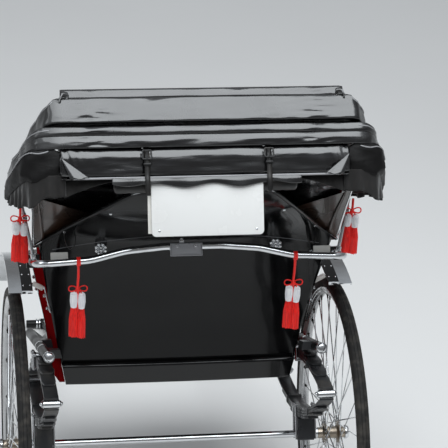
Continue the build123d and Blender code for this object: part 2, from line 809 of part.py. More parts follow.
def make_hood_curtain():
    """Lining from the front of the inner back board to the lowest roll."""
    front = back_front + seat_gap
    zs = [body_bottom_z + shell_rows[-2][0] * body_height, body_top_z - curtain_bend_drop]
    board_face = [(back_y(z) + front, z) for z in zs]
    roll_y = hood_rear_y + hood_folds[0][3] + seat_gap
    roll_z = hood_base_z + hood_folds[0][1] / 2
    upper = [(roll_y, roll_z)] + [(y + curtain_thickness, z) for y, z in board_face[::-1]]
    return yz_slab([*board_face, (roll_y, roll_z - curtain_thickness), *upper], curtain_half_width)


def lowest_leg_end(setback):
    """X of the lowest leg's middle plane a little behind the pivot, and Z of its lower edge there."""
    *_, knee_flare, _, _, pivot_rise, pivot_height = hood_folds[0]
    pivot_x = body_half_width(body_top_z) + hood_pivot_outreach
    share = setback / (hood_reach - hood_knee)
    x = pivot_x + share * (hood_half_width + knee_flare - pivot_x)
    return x, hood_base_z + pivot_rise - pivot_height / 2


def make_straps():
    """Two leather straps down the rear of the lowest roll, each with a plain buckle plate."""
    top, bottom = hood_base_z + hood_folds[0][2], hood_base_z - strap_tail
    rear = hood_rear_y - seat_gap
    straps = []
    for x in strap_xs:
        half = strap_width / 2
        strap = box_between((x - half, rear - strap_thickness, bottom), (x + half, rear, top))
        half += buckle_margin
        low_z = bottom + buckle_rise
        strap += box_between((x - half, rear - strap_thickness - buckle_thickness, low_z),
                             (x + half, rear - strap_thickness, low_z + buckle_height))
        straps.append(strap)
    return Compound(straps)


def make_tassel(hook, cord):
    """Plumb tassel when the vehicle is parked: cord, pale head and red skirt, hung from a point."""
    rows = [(radius, -cord - drop) for radius, drop in tassel_rows]
    outline = Polyline((0, 0), (tassel_cord_radius, 0), (tassel_cord_radius, -cord), *rows,
                       (0, rows[-1][1]), close=True)
    hanging = revolve(Plane.XZ * make_face(outline), Axis.Z)
    return Pos(*hook) * Rot(park_angle, 0, 0) * hanging


def push_bar_rise(x):
    """How far the push bar's middle line lies over its ends at an X value."""
    inset = push_bar_half_width - abs(x)
    for (low, low_rise, _), (high, high_rise, _) in zip(push_bar_turns, push_bar_turns[1:]):
        if inset <= high:
            return low_rise + (high_rise - low_rise) * (inset - low) / (high - low)
    return push_bar_turns[-1][1]


def make_tassels():
    """Two tassels on the push bar and one under each hood pivot."""
    hung = []
    for x in tassel_bar_xs:
        z = push_bar_end_z + push_bar_rise(x) - push_bar_radius - 2 * seat_gap
        hung.append(make_tassel((x, push_bar_y, z), tassel_bar_cord))
    x, low_z = lowest_leg_end(tassel_hook_setback)
    y = hood_rear_y + hood_reach - tassel_hook_setback
    z = low_z - drape_gap - drape_depths[2] - tassel_hook_drop
    for side in (-1, 1):
        hung.append(make_tassel((side * x, y, z), tassel_pivot_cord))
    return Compound(hung)


def make_hood_stay():
    """Plated rod from the push bar's return up to the pivot end of the folded hood."""
    foot = (push_bar_half_width, hood_stay_foot_y, push_bar_end_z + push_bar_radius + hood_stay_lift)
    x, low_z = lowest_leg_end(hood_stay_setback)
    head = (x, hood_rear_y + hood_reach - hood_stay_setback, low_z - drape_depths[2] - hood_stay_head_gap)
    return rod(foot, head, hood_stay_radius)


def make_hood_rest():
    """Padded bar on the shell's lip that carries the folded hood."""
    half = hood_rest_half_width
    return rod((-half, rest_y, rest_z), (half, rest_y, rest_z), hood_rest_radius)


def make_bearer(y):
    """Block between a shaft and the body side."""
    z_low, z_high = shaft_z - bearer_height / 2, shaft_z + bearer_height / 2
    half = bearer_length / 2
    block = box_between((bottom_half_width, y - half, z_low), (spring_x, y + half, z_high))
    block -= rod((spring_x, y - bearer_length, shaft_z), (spring_x, y + bearer_length, shaft_z), shaft_radius)
    return block - flared_room(0)


# Nose-down angle at which the grab bar lies on the floor.
bar_rise = grab_bar_z - wheel_radius
bar_distance = math.hypot(grab_bar_y, bar_rise)
park_angle = math.degrees(math.atan2(bar_rise, grab_bar_y)
                          + math.asin((wheel_radius - grab_bar_radius) / bar_distance))

nodes = {}


def pair(name, shape):
    """Adds a right piece and its mirrored left piece as two nodes."""
    nodes[name + "_right"] = shape
    nodes[name + "_left"] = mirrored(shape)


def both(name, shapes):
    """Adds small right pieces and their mirrored left ones as one node."""
    nodes[name] = Compound([*shapes, *[mirrored(shape) for shape in shapes]])


pair("tyre", make_tyre())
pair("rim", make_rim())
pair("spokes", make_spokes())
pair("hub", make_hub())
nodes["axle"] = make_axle()
pair("axle_pad", make_axle_pad())
pair("spring_lower", make_leaves(lower_pack_top, False))
pair("spring_upper", make_leaves(upper_pack_bottom, True))
pair("spring_eyes", make_spring_eyes())
pair("spring_clamp", make_clamp())
pair("shaft", make_shaft())
nodes["grab_bar"] = make_grab_bar()
both("bearers", [make_bearer(y) for y in bearer_ys])
pair("body_side", make_side())
nodes["body_back"] = make_back()
nodes["body_shell"] = make_shell()
nodes["body_moulding"] = make_moulding()
nodes["body_floor"] = make_floor()
nodes["seat_front_board"] = make_seat_front()
nodes["seat_board"] = make_seat_board()
nodes["foot_board"] = make_foot_board()
nodes["dash_board"] = make_dash()
nodes["seat_cushion"] = make_seat_cushion()
nodes["back_cushion"] = make_back_cushion()
both("armrests", [make_armrest()])
pair("mudguard", make_mudguard())
pair("wing_board", make_wing())
both("mudguard_stays", make_stays())
nodes["push_bar"] = make_push_bar()
both("push_bar_brackets", [make_push_bar_bracket()])
nodes["number_plate"] = make_number_plate()
nodes["sign_board"] = make_sign()
for fold_name, fold_rise, fold_height, fold_depth, *_ in hood_folds:
    nodes[fold_name] = make_fold(fold_rise, fold_height - 2 * seat_gap, fold_depth)
pair("hood_side", make_hood_side())
both("hood_stays", [make_hood_stay()])
pair("hood_drape", make_hood_drape())
nodes["hood_curtain"] = make_hood_curtain()
nodes["hood_straps"] = make_straps()
nodes["tassels"] = make_tassels()
nodes["hood_rest"] = make_hood_rest()

# Tip nose down about the axle.
tipped = {name: Pos(0, 0, wheel_radius) * Rot(-park_angle, 0, 0) * Pos(0, 0, -wheel_radius) * shape
          for name, shape in nodes.items()}

# The origin is on the floor under the middle of the parked vehicle.
boxes = [shape.bounding_box() for shape in tipped.values()]
rearmost = min(box.min.Y for box in boxes)
foremost = max(box.max.Y for box in boxes)
shift_y = -(rearmost + foremost) / 2
for name, shape in tipped.items():
    export_step(Pos(0, shift_y, 0) * shape, f"parts/{name}.step")
print(f"park angle {park_angle:.3f} degrees, axle at Y {shift_y:.3f}, Z {wheel_radius:.1f}")
print(f"length {foremost - rearmost:.0f}, width {max(box.size.X for box in boxes):.0f}, "
      f"height {max(box.max.Z for box in boxes):.0f}, nodes {len(nodes)}")
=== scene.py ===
"""Looks of a passenger rickshaw that stands parked on its shafts with its hood folded.

Every piece is drawn with the vehicle level, in millimetres: X to the right, Y forward, Z up, the axle
above Y = 0 and the floor at Z = 0, as in the CAD source. Its mesh is tipped onto the shafts at the end.
"""
from __future__ import annotations

import json
import logging
import math
from dataclasses import dataclass
from enum import Enum
from typing import Callable, Sequence

import bmesh
import bpy
from mathutils import Matrix, Quaternion, Vector, noise

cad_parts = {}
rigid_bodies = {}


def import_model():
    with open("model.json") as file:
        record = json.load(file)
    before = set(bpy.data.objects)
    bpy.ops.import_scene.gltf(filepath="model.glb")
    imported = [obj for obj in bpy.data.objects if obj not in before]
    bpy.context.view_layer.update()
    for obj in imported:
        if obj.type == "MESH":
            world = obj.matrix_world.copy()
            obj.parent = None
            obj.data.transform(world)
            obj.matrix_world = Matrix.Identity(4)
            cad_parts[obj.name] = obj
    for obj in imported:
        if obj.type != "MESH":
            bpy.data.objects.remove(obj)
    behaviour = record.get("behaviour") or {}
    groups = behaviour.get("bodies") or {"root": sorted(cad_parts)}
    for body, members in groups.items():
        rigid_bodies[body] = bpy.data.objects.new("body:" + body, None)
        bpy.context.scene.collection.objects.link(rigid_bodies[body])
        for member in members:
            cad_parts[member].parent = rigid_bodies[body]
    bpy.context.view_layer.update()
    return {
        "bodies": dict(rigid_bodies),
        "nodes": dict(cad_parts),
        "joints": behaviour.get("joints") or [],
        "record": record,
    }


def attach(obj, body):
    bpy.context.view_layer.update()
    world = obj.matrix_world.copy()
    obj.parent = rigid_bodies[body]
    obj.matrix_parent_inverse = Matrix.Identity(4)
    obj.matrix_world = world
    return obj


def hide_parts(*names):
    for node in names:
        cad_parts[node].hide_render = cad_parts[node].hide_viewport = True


LOG = logging.getLogger("rickshaw")
Point = Sequence[float]
Socket = bpy.types.NodeSocket


class Body(Enum):
    """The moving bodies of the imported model."""

    CARRIAGE = "carriage"
    WHEEL_LEFT = "wheel_left"
    WHEEL_RIGHT = "wheel_right"


class Side(Enum):
    """One side of the vehicle, with the sign of its X."""

    LEFT = -1
    RIGHT = 1

    @property
    def label(self) -> str:
        """Ending of the names of this side's pieces."""
        return self.name.lower()

    @property
    def wheel(self) -> Body:
        """The wheel body on this side."""
        return Body.WHEEL_LEFT if self is Side.LEFT else Body.WHEEL_RIGHT


@dataclass(frozen=True)
class Stance:
    """How the level vehicle is tipped onto its shafts."""

    angle: float = 25.984
    axle_height: float = 545.0
    shift: float = -583.699

    def matrix(self) -> Matrix:
        """Matrix from level millimetres to the row frame's metres.

        Returns:
            The matrix.
        """
        lift = Matrix.Translation((0, 0, self.axle_height))
        tip = Matrix.Rotation(-math.radians(self.angle), 4, "X")
        shift = Matrix.Translation((0, self.shift, 0))
        return Matrix.Scale(0.001, 4) @ shift @ lift @ tip @ lift.inverted()


TIPPED = Stance().matrix()


def colour(text: str) -> tuple[float, float, float, float]:
    """Linear colour from an sRGB hex value.

    Args:
        text: Six hex digits.

    Returns:
        Red, green, blue and 1.
    """
    parts = [int(text[i:i + 2], 16) / 255 for i in (0, 2, 4)]
    linear = [p / 12.92 if p <= 0.04045 else ((p + 0.055) / 1.055) ** 2.4 for p in parts]
    return (*linear, 1.0)


def per_metre(size: float) -> float:
    """Texture scale of a pattern whose size is in millimetres."""
    return 1000.0 / size


class Nodes:
    """The node tree of one material or world."""

    def __init__(self, tree: bpy.types.NodeTree) -> None:
        """Keeps the tree that nodes are added to."""
        self.tree = tree

    def wire(self, node: bpy.types.Node, inputs: dict[str | int, object]) -> None:
        """Sets or links a node's inputs.

        Args:
            node: The node.
            inputs: Value or source socket for each input's name or number.
        """
        for key, value in inputs.items():
            if isinstance(value, Socket):
                self.tree.links.new(value, node.inputs[key])
            else:
                node.inputs[key].default_value = value

    def add(self, kind: str, settings: dict[str, object] | None = None,
            inputs: dict[str | int, object] | None = None) -> bpy.types.Node:
        """Adds a node with its settings and links.

        Args:
            kind: The node's type.
            settings: Values of its properties.
            inputs: Value or source socket for each input.

        Returns:
            The new node.
        """
        node = self.tree.nodes.new(kind)
        for key, value in (settings or {}).items():
            setattr(node, key, value)
        self.wire(node, inputs or {})
        return node

    def clouds(self, at: Socket, size: float, detail: float, distortion: float = 0.0) -> Socket:
        """Noise in patches.

        Args:
            at: Texture coordinates.
            size: Size of a patch in millimetres.
            detail: How many finer layers lie on it.
            distortion: How much its patches are pulled about.

        Returns:
            A value about 0.5.
        """
        inputs = {"Vector": at, "Scale": per_metre(size), "Detail": detail, "Distortion": distortion}
        return self.add("ShaderNodeTexNoise", None, inputs).outputs[0]

    def pebbles(self, at: Socket, size: float) -> Socket:
        """Distance to the middle of pebbles of a size in millimetres."""
        return self.add("ShaderNodeTexVoronoi", None, {"Vector": at, "Scale": per_metre(size)}).outputs[0]

    def scaled(self, at: Socket, scale: Point) -> Socket:
        """Texture coordinates times a scale, which draws a pattern out where it is small."""
        return self.add("ShaderNodeMapping", None, {"Vector": at, "Scale": scale}).outputs[0]

    def ranged(self, value: Socket, low: float, high: float, least: float, most: float) -> Socket:
        """Turns a range of a value into another range, and holds it within that.

        Args:
            value: The value.
            low: Start of its range.
            high: End of its range.
            least: Result at the start.
            most: Result at the end.

        Returns:
            The new value.
        """
        return self.add("ShaderNodeMapRange", None, {"Value": value, 1: low, 2: high, 3: least, 4: most}).outputs[0]

    def maths(self, operation: str, *values: Socket | float) -> Socket:
        """Result of a maths operation on one or two values."""
        return self.add("ShaderNodeMath", {"operation": operation}, dict(enumerate(values))).outputs[0]

    def blend(self, share: Socket, first: str, second: str) -> Socket:
        """Colour between two sRGB hex colours, by the share of the second."""
        return self.add("ShaderNodeMix", {"data_type": "RGBA"},
                        {0: share, 6: colour(first), 7: colour(second)}).outputs[2]

    def relief(self, strength: float, depth: float, height: Socket, under: Socket | None = None) -> Socket:
        """Relief that only the light shows.

        Args:
            strength: Its share, from 0 to 1.
            depth: Its depth in metres.
            height: Height from 0 to 1.
            under: Normal of a coarser relief below it.

        Returns:
            The normal.
        """
        inputs = {"Strength": strength, "Distance": depth, "Height": height}
        if under is not None:
            inputs["Normal"] = under
        return self.add("ShaderNodeBump", None, inputs).outputs[0]


@dataclass(frozen=True)
class Finish:
    """A real material with its surface. Subclasses give the shader its colour, gloss and relief."""

    name: str
    slot: str
    base: str

    def material(self) -> bpy.types.Material:
        """The Blender material, made once.

        Returns:
            The material.
        """
        found = bpy.data.materials.get(self.name)
        if found:
            return found
        made = bpy.data.materials.new(self.name)
        made.use_nodes = True
        nodes = Nodes(made.node_tree)
        at = nodes.add("ShaderNodeTexCoord").outputs["Object"]
        nodes.wire(made.node_tree.nodes["Principled BSDF"], self.looks(nodes, at))
        return made

    def looks(self, nodes: Nodes, at: Socket) -> dict[str | int, object]:
        """Colour, gloss and relief.

        Args:
            nodes: The material's tree.
            at: Texture coordinates in metres.

        Returns:
            Value or source socket for each input of the Principled shader.
        """
        return {"Base Color": colour(self.base)}


@dataclass(frozen=True)
class Lacquer(Finish):
    """Urushi style lacquer on wood, brushed and polished.

    The eye gets a deep even colour under a clear gloss, soft waves in the reflections from the
    wood below, and a breath of dust that dulls the gloss in patches. On the brown lacquer the
    dust colour is an orange brown that is a painted orange reflection, laid in those patches.
    """

    dust: str = "1D1C1B"
    gloss: float = 0.07
    dull: float = 0.2
    level: float = 0.16
    coat: float = 0.08

    def looks(self, nodes: Nodes, at: Socket) -> dict[str | int, object]:
        """Colour, gloss and relief, as in Finish.

        Args:
            nodes: The material's tree.
            at: Texture coordinates in metres.

        Returns:
            Value or source socket for each input of the Principled shader.
        """
        cloud = nodes.clouds(at, 160, 4.0)
        # Mask of the dust colour, in clouds and fine specks. On the brown lacquer the dust colour is a painted orange
        # reflection.
        dirt = nodes.maths("MAXIMUM", nodes.ranged(cloud, 0.45, 0.75, 0.0, 0.35),
                           nodes.ranged(nodes.clouds(at, 3, 2.0), 0.62, 0.72, 0.0, 0.3))
        return {"Base Color": nodes.blend(dirt, self.base, self.dust),
                "Roughness": nodes.ranged(cloud, 0.3, 0.75, self.gloss, self.dull),
                "Normal": nodes.relief(0.25, 0.0009, nodes.clouds(at, 70, 1.0)),
                "Specular IOR Level": self.level, "Coat Weight": self.coat, "Coat Roughness": 0.03}


@dataclass(frozen=True)
class Plating(Finish):
    """Chromium or nickel plate on steel, buffed.

    The eye gets mirror reflections, faint wiping marks that spread the highlights, and tiny pits.
    """

    gloss: float = 0.05
    dull: float = 0.2
    stain: str = "8E8C88"
    stained: float = 0.25

    def looks(self, nodes: Nodes, at: Socket) -> dict[str | int, object]:
        """Colour, gloss and relief, as in Finish.

        Args:
            nodes: The material's tree.
            at: Texture coordinates in metres.

        Returns:
            Value or source socket for each input of the Principled shader.
        """
        haze = nodes.clouds(at, 45, 5.0)
        share = nodes.ranged(haze, 0.45, 0.8, 0.0, self.stained)
        return {"Base Color": nodes.blend(share, self.base, self.stain),
                "Roughness": nodes.ranged(haze, 0.35, 0.7, self.gloss, self.dull),
                "Normal": nodes.relief(0.12, 0.0003, nodes.clouds(at, 2.5, 2.0)), "Metallic": 1.0}


@dataclass(frozen=True)
class Enamel(Finish):
    """Paint baked on metal, or sprayed on wood.

    The eye gets a smooth skin with a soft sheen, slight dirt in clouds, and fine orange peel.
    """

    dirt: str = "6F6A62"
    dirtied: float = 0.3
    gloss: float = 0.25
    dull: float = 0.5
    peel: float = 0.15

    def looks(self, nodes: Nodes, at: Socket) -> dict[str | int, object]:
        """Colour, gloss and relief, as in Finish.

        Args:
            nodes: The material's tree.
            at: Texture coordinates in metres.

        Returns:
            Value or source socket for each input of the Principled shader.
        """
        cloud = nodes.clouds(at, 80, 6.0)
        share = nodes.ranged(cloud, 0.5, 0.8, 0.0, self.dirtied)
        return {"Base Color": nodes.blend(share, self.base, self.dirt),
                "Roughness": nodes.ranged(cloud, 0.3, 0.7, self.gloss, self.dull),
                "Normal": nodes.relief(self.peel, 0.0005, nodes.clouds(at, 5, 1.0))}


@dataclass(frozen=True)
class CoatedCloth(Finish):
    """Cotton cloth coated with black vinyl, calendered.

    The eye gets broad soft highlights broken by long shallow creases, a fine leather-like grain and
    paler scuffs where the folds rub. Beyond matt_from on either side of matt_middle, as shares of the
    cloth's length, it is duller.
    """

    scuff: str = "2A2A2E"
    gloss: float = 0.14
    dull: float = 0.34
    coat: float = 0.8
    level: float = 0.65
    matt_from: float = 2.0
    matt_middle: float = 0.5

    def looks(self, nodes: Nodes, at: Socket) -> dict[str | int, object]:
        """Colour, gloss and relief, as in Finish.

        Args:
            nodes: The material's tree.
            at: Texture coordinates in metres.

        Returns:
            Value or source socket for each input of the Principled shader.
        """
        crease = nodes.clouds(nodes.scaled(at, (0.18, 1.0, 1.0)), 38, 3.0, 0.6)
        share = nodes.ranged(crease, 0.6, 0.8, 0.0, 0.5)
        rough = nodes.ranged(nodes.clouds(at, 120, 4.0), 0.3, 0.7, self.gloss, self.dull)
        across = nodes.add("ShaderNodeSeparateXYZ", None, {0: nodes.add("ShaderNodeTexCoord").outputs["UV"]})
        away = nodes.maths("ABSOLUTE", nodes.maths("SUBTRACT", across.outputs[0], self.matt_middle))
        matt = nodes.ranged(away, self.matt_from, self.matt_from + 0.02, 0.0, 0.3)
        folds = nodes.relief(0.45, 0.006, crease)
        return {"Base Color": nodes.blend(share, self.base, self.scuff), "Roughness": nodes.maths("ADD", rough, matt),
                "Normal": nodes.relief(0.25, 0.0004, nodes.pebbles(at, 2.2), folds),
                "Specular IOR Level": self.level, "Coat Weight": self.coat, "Coat Roughness": 0.09}


@dataclass(frozen=True)
class WovenCloth(Finish):
    """Cloth of crossing threads.

    The eye gets a matt ground with a visible weave, threads of slightly different tone and a soft
    sheen at the edges. The thread spacing is drawn a little coarse so that it shows.
    """

    second: str = "4A0A0C"
    thread: float = 4.0

    def looks(self, nodes: Nodes, at: Socket) -> dict[str | int, object]:
        """Colour, gloss and relief, as in Finish.

        Args:
            nodes: The material's tree.
            at: Texture coordinates in metres.

        Returns:
            Value or source socket for each input of the Principled shader.
        """
        inputs = {"Vector": at, "Scale": per_metre(self.thread) / 20, "Distortion": 0.4}
        threads = [nodes.add("ShaderNodeTexWave", {"bands_direction": way}, inputs).outputs[1] for way in "XY"]
        weave = nodes.maths("MULTIPLY", *threads)
        share = nodes.maths("MULTIPLY", weave, nodes.clouds(at, 60, 5.0))
        return {"Base Color": nodes.blend(share, self.second, self.base), "Roughness": 0.85,
                "Normal": nodes.relief(0.5, 0.0008, weave), "Sheen Weight": 0.3, "Sheen Roughness": 0.4}


@dataclass(frozen=True)
class Leather(Finish):
    """Harness leather, dyed and waxed.

    The eye gets a pebbled grain, a low wax shine and scuffed lighter patches.
    """

    scuff: str = "3A342F"

    def looks(self, nodes: Nodes, at: Socket) -> dict[str | int, object]:
        """Colour, gloss and relief, as in Finish.

        Args:
            nodes: The material's tree.
            at: Texture coordinates in metres.

        Returns:
            Value or source socket for each input of the Principled shader.
        """
        cloud = nodes.clouds(at, 50, 6.0)
        return {"Base Color": nodes.blend(nodes.ranged(cloud, 0.5, 0.8, 0.0, 0.7), self.base, self.scuff),
                "Roughness": nodes.ranged(cloud, 0.3, 0.7, 0.32, 0.55),
                "Normal": nodes.relief(0.4, 0.0005, nodes.pebbles(at, 3))}


@dataclass(frozen=True)
class Rubber(Finish):
    """Vulcanised rubber with road dust.

    The eye gets a matt near-black with grey dust worked into it and a fine moulded grain.
    """

    dust: str = "6B655C"

    def looks(self, nodes: Nodes, at: Socket) -> dict[str | int, object]:
        """Colour, gloss and relief, as in Finish.

        Args:
            nodes: The material's tree.
            at: Texture coordinates in metres.

        Returns:
            Value or source socket for each input of the Principled shader.
        """
        share = nodes.ranged(nodes.clouds(at, 25, 8.0), 0.45, 0.8, 0.04, 0.4)
        return {"Base Color": nodes.blend(share, self.base, self.dust), "Roughness": 0.72,
                "Normal": nodes.relief(0.4, 0.0006, nodes.clouds(at, 1.6, 3.0)), "Specular IOR Level": 0.35}


@dataclass(frozen=True)
class SilkThread(Finish):
    """Twisted rayon cord.

    The eye gets bright strands that run down the tassel, darker between them, with a faint sheen.
    """

    shade: str = "7A0508"

    def looks(self, nodes: Nodes, at: Socket) -> dict[str | int, object]:
        """Colour, gloss and relief, as in Finish.

        Args:
            nodes: The material's tree.
            at: Texture coordinates in metres.

        Returns:
            Value or source socket for each input of the Principled shader.
        """
        strand = nodes.clouds(nodes.scaled(at, (1.0, 1.0, 0.06)), 2.2, 2.0)
        share = nodes.ranged(strand, 0.35, 0.6, 0.0, 1.0)
        return {"Base Color": nodes.blend(share, self.shade, self.base), "Roughness": 0.55,
                "Normal": nodes.relief(0.6, 0.0008, strand), "Sheen Weight": 0.06, "Sheen Roughness": 0.35}


BLACK_LACQUER = Lacquer("black_lacquer_on_wood", "black_lacquer", "0A0A0B")
POLISHED_LACQUER = Lacquer("polished_black_lacquer_on_wood", "black_lacquer", "0A0A0B", level=0.3, coat=0.15)
# Brown lacquer of the body back and ears. Its dust colour 7A4A2A is not dust: it is a painted orange reflection, laid
# in patches.
BROWN_LACQUER_WITH_PAINTED_REFLECTION = Lacquer("brown_black_lacquer_on_wood", "black_lacquer", "2E2520", dust="7A4A2A",
                        gloss=0.2, dull=0.4, level=1.0, coat=0.6)
RED_LACQUER = Lacquer("red_lacquer_on_wood", "red_lacquer", "780A0E", dust="4A080A",
                      gloss=0.45, dull=0.6, level=0.0, coat=0.0)
WORN_LACQUER = Lacquer("worn_black_lacquer_on_wood", "black_lacquer", "0C0C0C",
                       gloss=0.3, dull=0.5, level=0.25, coat=0.0)
PIPING_LACQUER = Lacquer("grey_lacquer_line_on_wood", "black_lacquer", "66676A", gloss=0.3, dull=0.5)
CHROME = Plating("chromium_plated_steel", "chrome_tube", "D6D8DA")
WHEEL_PLATE = Plating("dulled_plated_steel", "rim_steel", "B4B5B6", gloss=0.16, dull=0.4, stained=0.5)
NIPPLE_BRASS = Plating("blackened_nickel_on_brass", "rim_steel", "4A4744", gloss=0.2, dull=0.4)
HUB_SLEEVE = Plating("weathered_nickel_on_steel", "rim_steel", "A79C8E", gloss=0.22, dull=0.45,
                     stain="6E6253", stained=0.6)
PLATE_RIM = Plating("bare_aluminium_edge", "plate_grey", "9A9B9E", gloss=0.25, dull=0.4)
SPRING_PAINT = Enamel("grey_black_paint_on_spring_steel", "spring_steel", "2A2B2D", dirtied=0.5)
BLACK_ENAMEL = Enamel("black_enamel_on_steel", "black_steel", "0E0E0F", dirtied=0.15)
GREY_BRACKET = Enamel("grey_zinc_plated_steel", "black_steel", "B9B7B2", dirtied=0.2, gloss=0.3, dull=0.45)
SIGN_ENAMEL = Enamel("white_enamel_on_steel", "sign_white", "DEDEDC", dirt="C9C6BF", dirtied=0.12,
                     gloss=0.15, dull=0.3, peel=0.05)
WHITE_SLEEVE = Enamel("white_vinyl_sleeve", "sign_white", "E4E2DC", dirt="A8A294", dirtied=0.3)
PLATE_GREY = Enamel("anodised_grey_aluminium_plate", "plate_grey", "A6A7AB", dirt="B4B4B6", dirtied=0.3,
                    gloss=0.3, dull=0.45)
# The piping is real, but it is made a paler grey than its own so that it stands for a painted highlight: the light
# caught on the welts.
PIPING = Enamel("grey_vinyl_piping", "hood_cloth", "8C8C8E", dirtied=0.2)
HOOD_CLOTH = CoatedCloth("black_vinyl_coated_cotton", "hood_cloth", "0B0B0C")
FOLDED_CLOTH = CoatedCloth("black_vinyl_coated_cotton_folded", "hood_cloth", "0B0B0C",
                           matt_from=0.235, matt_middle=0.516)
DULL_CLOTH = CoatedCloth("worn_vinyl_coated_cotton", "hood_cloth", "0D0C0C", scuff="191817",
                         gloss=0.4, dull=0.6, coat=0.0, level=0.2)
HOOD_LINING = WovenCloth("brown_grey_cotton_lining", "hood_lining", "1E1A18", second="100E0D", thread=3.0)
SEAT_CLOTH = WovenCloth("red_wool_moquette", "seat_cloth", "B3181E", second="5E090D")
BLACK_LEATHER = Leather("black_harness_leather", "strap_leather", "121110")
TYRE_RUBBER = Rubber("vulcanised_black_rubber", "tyre", "141415")
MAT_RUBBER = Rubber("ribbed_black_rubber_mat", "tyre", "19191A")
RED_SILK = SilkThread("red_rayon_cord", "tassel_red", "FF1E0E", shade="D80C08")
WHITE_SILK = SilkThread("white_rayon_cord", "tassel_red", "FAFAFA", shade="E6E6EC")


def linked(name: str, data: bpy.types.ID) -> bpy.types.Object:
    """A new object of the data, in the scene.

    Args:
        name: Its name.
        data: The mesh, curve, camera or lamp.

    Returns:
        The object.
    """
    made = bpy.data.objects.new(name, data)
    bpy.context.scene.collection.objects.link(made)
    return made


def surface(columns: int, rows: int, place: Callable[[float, float], Point],
            closed: bool = False) -> bmesh.types.BMesh:
    """A grid whose points a function places, with its UV from 0 to 1 each way.

    Args:
        columns: Faces along the first direction.
        rows: Faces along the second.
        place: Level point from the two shares.
        closed: Joins the points that meet.

    Returns:
        The mesh, in level millimetres.
    """
    bm = bmesh.new()
    uv = bm.loops.layers.uv.new("UVMap")
    bmesh.ops.create_grid(bm, x_segments=columns, y_segments=rows, size=0.5)
    for face in bm.faces:
        for loop in face.loops:
            loop[uv].uv = (loop.vert.co.x + 0.5, loop.vert.co.y + 0.5)
    for vert in bm.verts:
        vert.co = place(vert.co.x + 0.5, vert.co.y + 0.5)
    if closed:
        bmesh.ops.remove_doubles(bm, verts=bm.verts, dist=0.02)
    return bm


def bevel(bm: bmesh.types.BMesh, edges: list[bmesh.types.BMEdge], width: float, segments: int) -> None:
    """Rounds edges to a width, with a number of faces across it."""
    bmesh.ops.bevel(bm, geom=edges, offset=width, segments=segments, profile=0.5, material=-1, affect="EDGES")


def run_y(edge: bmesh.types.BMEdge) -> float:
    """How far an edge runs along Y."""
    return abs(edge.verts[0].co.y - edge.verts[1].co.y)


def facing_matrix(facing: Point) -> Matrix:
    """Rotation that turns Z to a direction."""
    return Vector(facing).to_track_quat("Z", "Y").to_matrix().to_4x4()


def add_rod(bm: bmesh.types.BMesh, start: Point, end: Point, radius: float,
            end_radius: float | None = None, segments: int = 16) -> None:
    """Adds a round or many-sided bar between two points.

    Args:
        bm: Mesh that gets it.
        start: Middle of its first end.
        end: Middle of its last end.
        radius: Radius at the start.
        end_radius: Radius at the end, if it differs.
        segments: Sides.
    """
    start, end = Vector(start), Vector(end)
    along = end - start
    bmesh.ops.create_cone(bm, cap_ends=True, cap_tris=False, segments=segments, radius1=radius,
                          radius2=radius if end_radius is None else end_radius, depth=along.length,
                          matrix=Matrix.Translation((start + end) / 2) @ facing_matrix(along))


def add_wire(bm: bmesh.types.BMesh, points: Sequence[Point], radius: float, segments: int = 8,
             closed: bool = False) -> None:
    """Adds straight bars from point to point.

    Args:
        bm: Mesh that gets them.
        points: Their ends, in order.
        radius: Their radius.
        segments: Their sides.
        closed: Adds a bar from the last point to the first.
    """
    for a, b in zip(points, [*points[1:], points[0]] if closed else points[1:]):
        add_rod(bm, a, b, radius, segments=segments)


def add_box(bm: bmesh.types.BMesh, low: Point, high: Point, rounding: float = 0.0, segments: int = 2,
            turn: Matrix | None = None) -> None:
    """Adds a box with rounded edges.

    Args:
        bm: Mesh that gets it.
        low: Lowest corner.
        high: Highest corner.
        rounding: Width of the rounded edges.
        segments: Faces across a rounded edge.
        turn: Rotation about its middle.
    """
    low, high = Vector(low), Vector(high)
    size = high - low
    place = Matrix.Translation((low + high) / 2) @ (turn or Matrix.Identity(4)) @ Matrix.Diagonal((*size, 1))
    made = bmesh.ops.create_cube(bm, size=1.0, matrix=place)
    if rounding:
        bevel(bm, list({edge for vert in made["verts"] for edge in vert.link_edges}), rounding, segments)


def add_dome(bm: bmesh.types.BMesh, at: Point, facing: Point, radius: float, height: float,
             segments: int = 12) -> None:
    """Adds a rounded rivet or nut head.

    Args:
        bm: Mesh that gets it.
        at: Middle of its foot.
        facing: Direction it stands up in.
        radius: Its radius.
        height: How high it stands.
        segments: Faces round it.
    """
    place = Matrix.Translation(Vector(at)) @ facing_matrix(facing) @ Matrix.Diagonal((1, 1, height / radius, 1))
    bmesh.ops.create_uvsphere(bm, u_segments=segments, v_segments=max(6, segments // 2), radius=radius, matrix=place)


def add_bolt(bm: bmesh.types.BMesh, at: Point, facing: Point, across: float = 7.0, height: float = 6.0) -> None:
    """Adds a washer, a hexagon nut and the rounded end of its bolt.

    Args:
        bm: Mesh that gets them.
        at: Middle of the washer's foot.
        facing: Direction they stand up in.
        across: Radius of the nut.
        height: Height of the nut.
    """
    washer = 1.5
    at, facing = Vector(at), Vector(facing).normalized()
    add_rod(bm, at, at + facing * washer, across * 1.25, segments=20)
    add_rod(bm, at + facing * washer, at + facing * (washer + height), across, segments=6)
    add_dome(bm, at + facing * (washer + height), facing, across * 0.6, across * 0.5)


def mirrored(half: list[tuple[float, float]]) -> list[tuple[float, float]]:
    """A profile of X and radius with its other half, which starts at X = 0."""
    return [(-x, radius) for x, radius in half[:0:-1]] + half


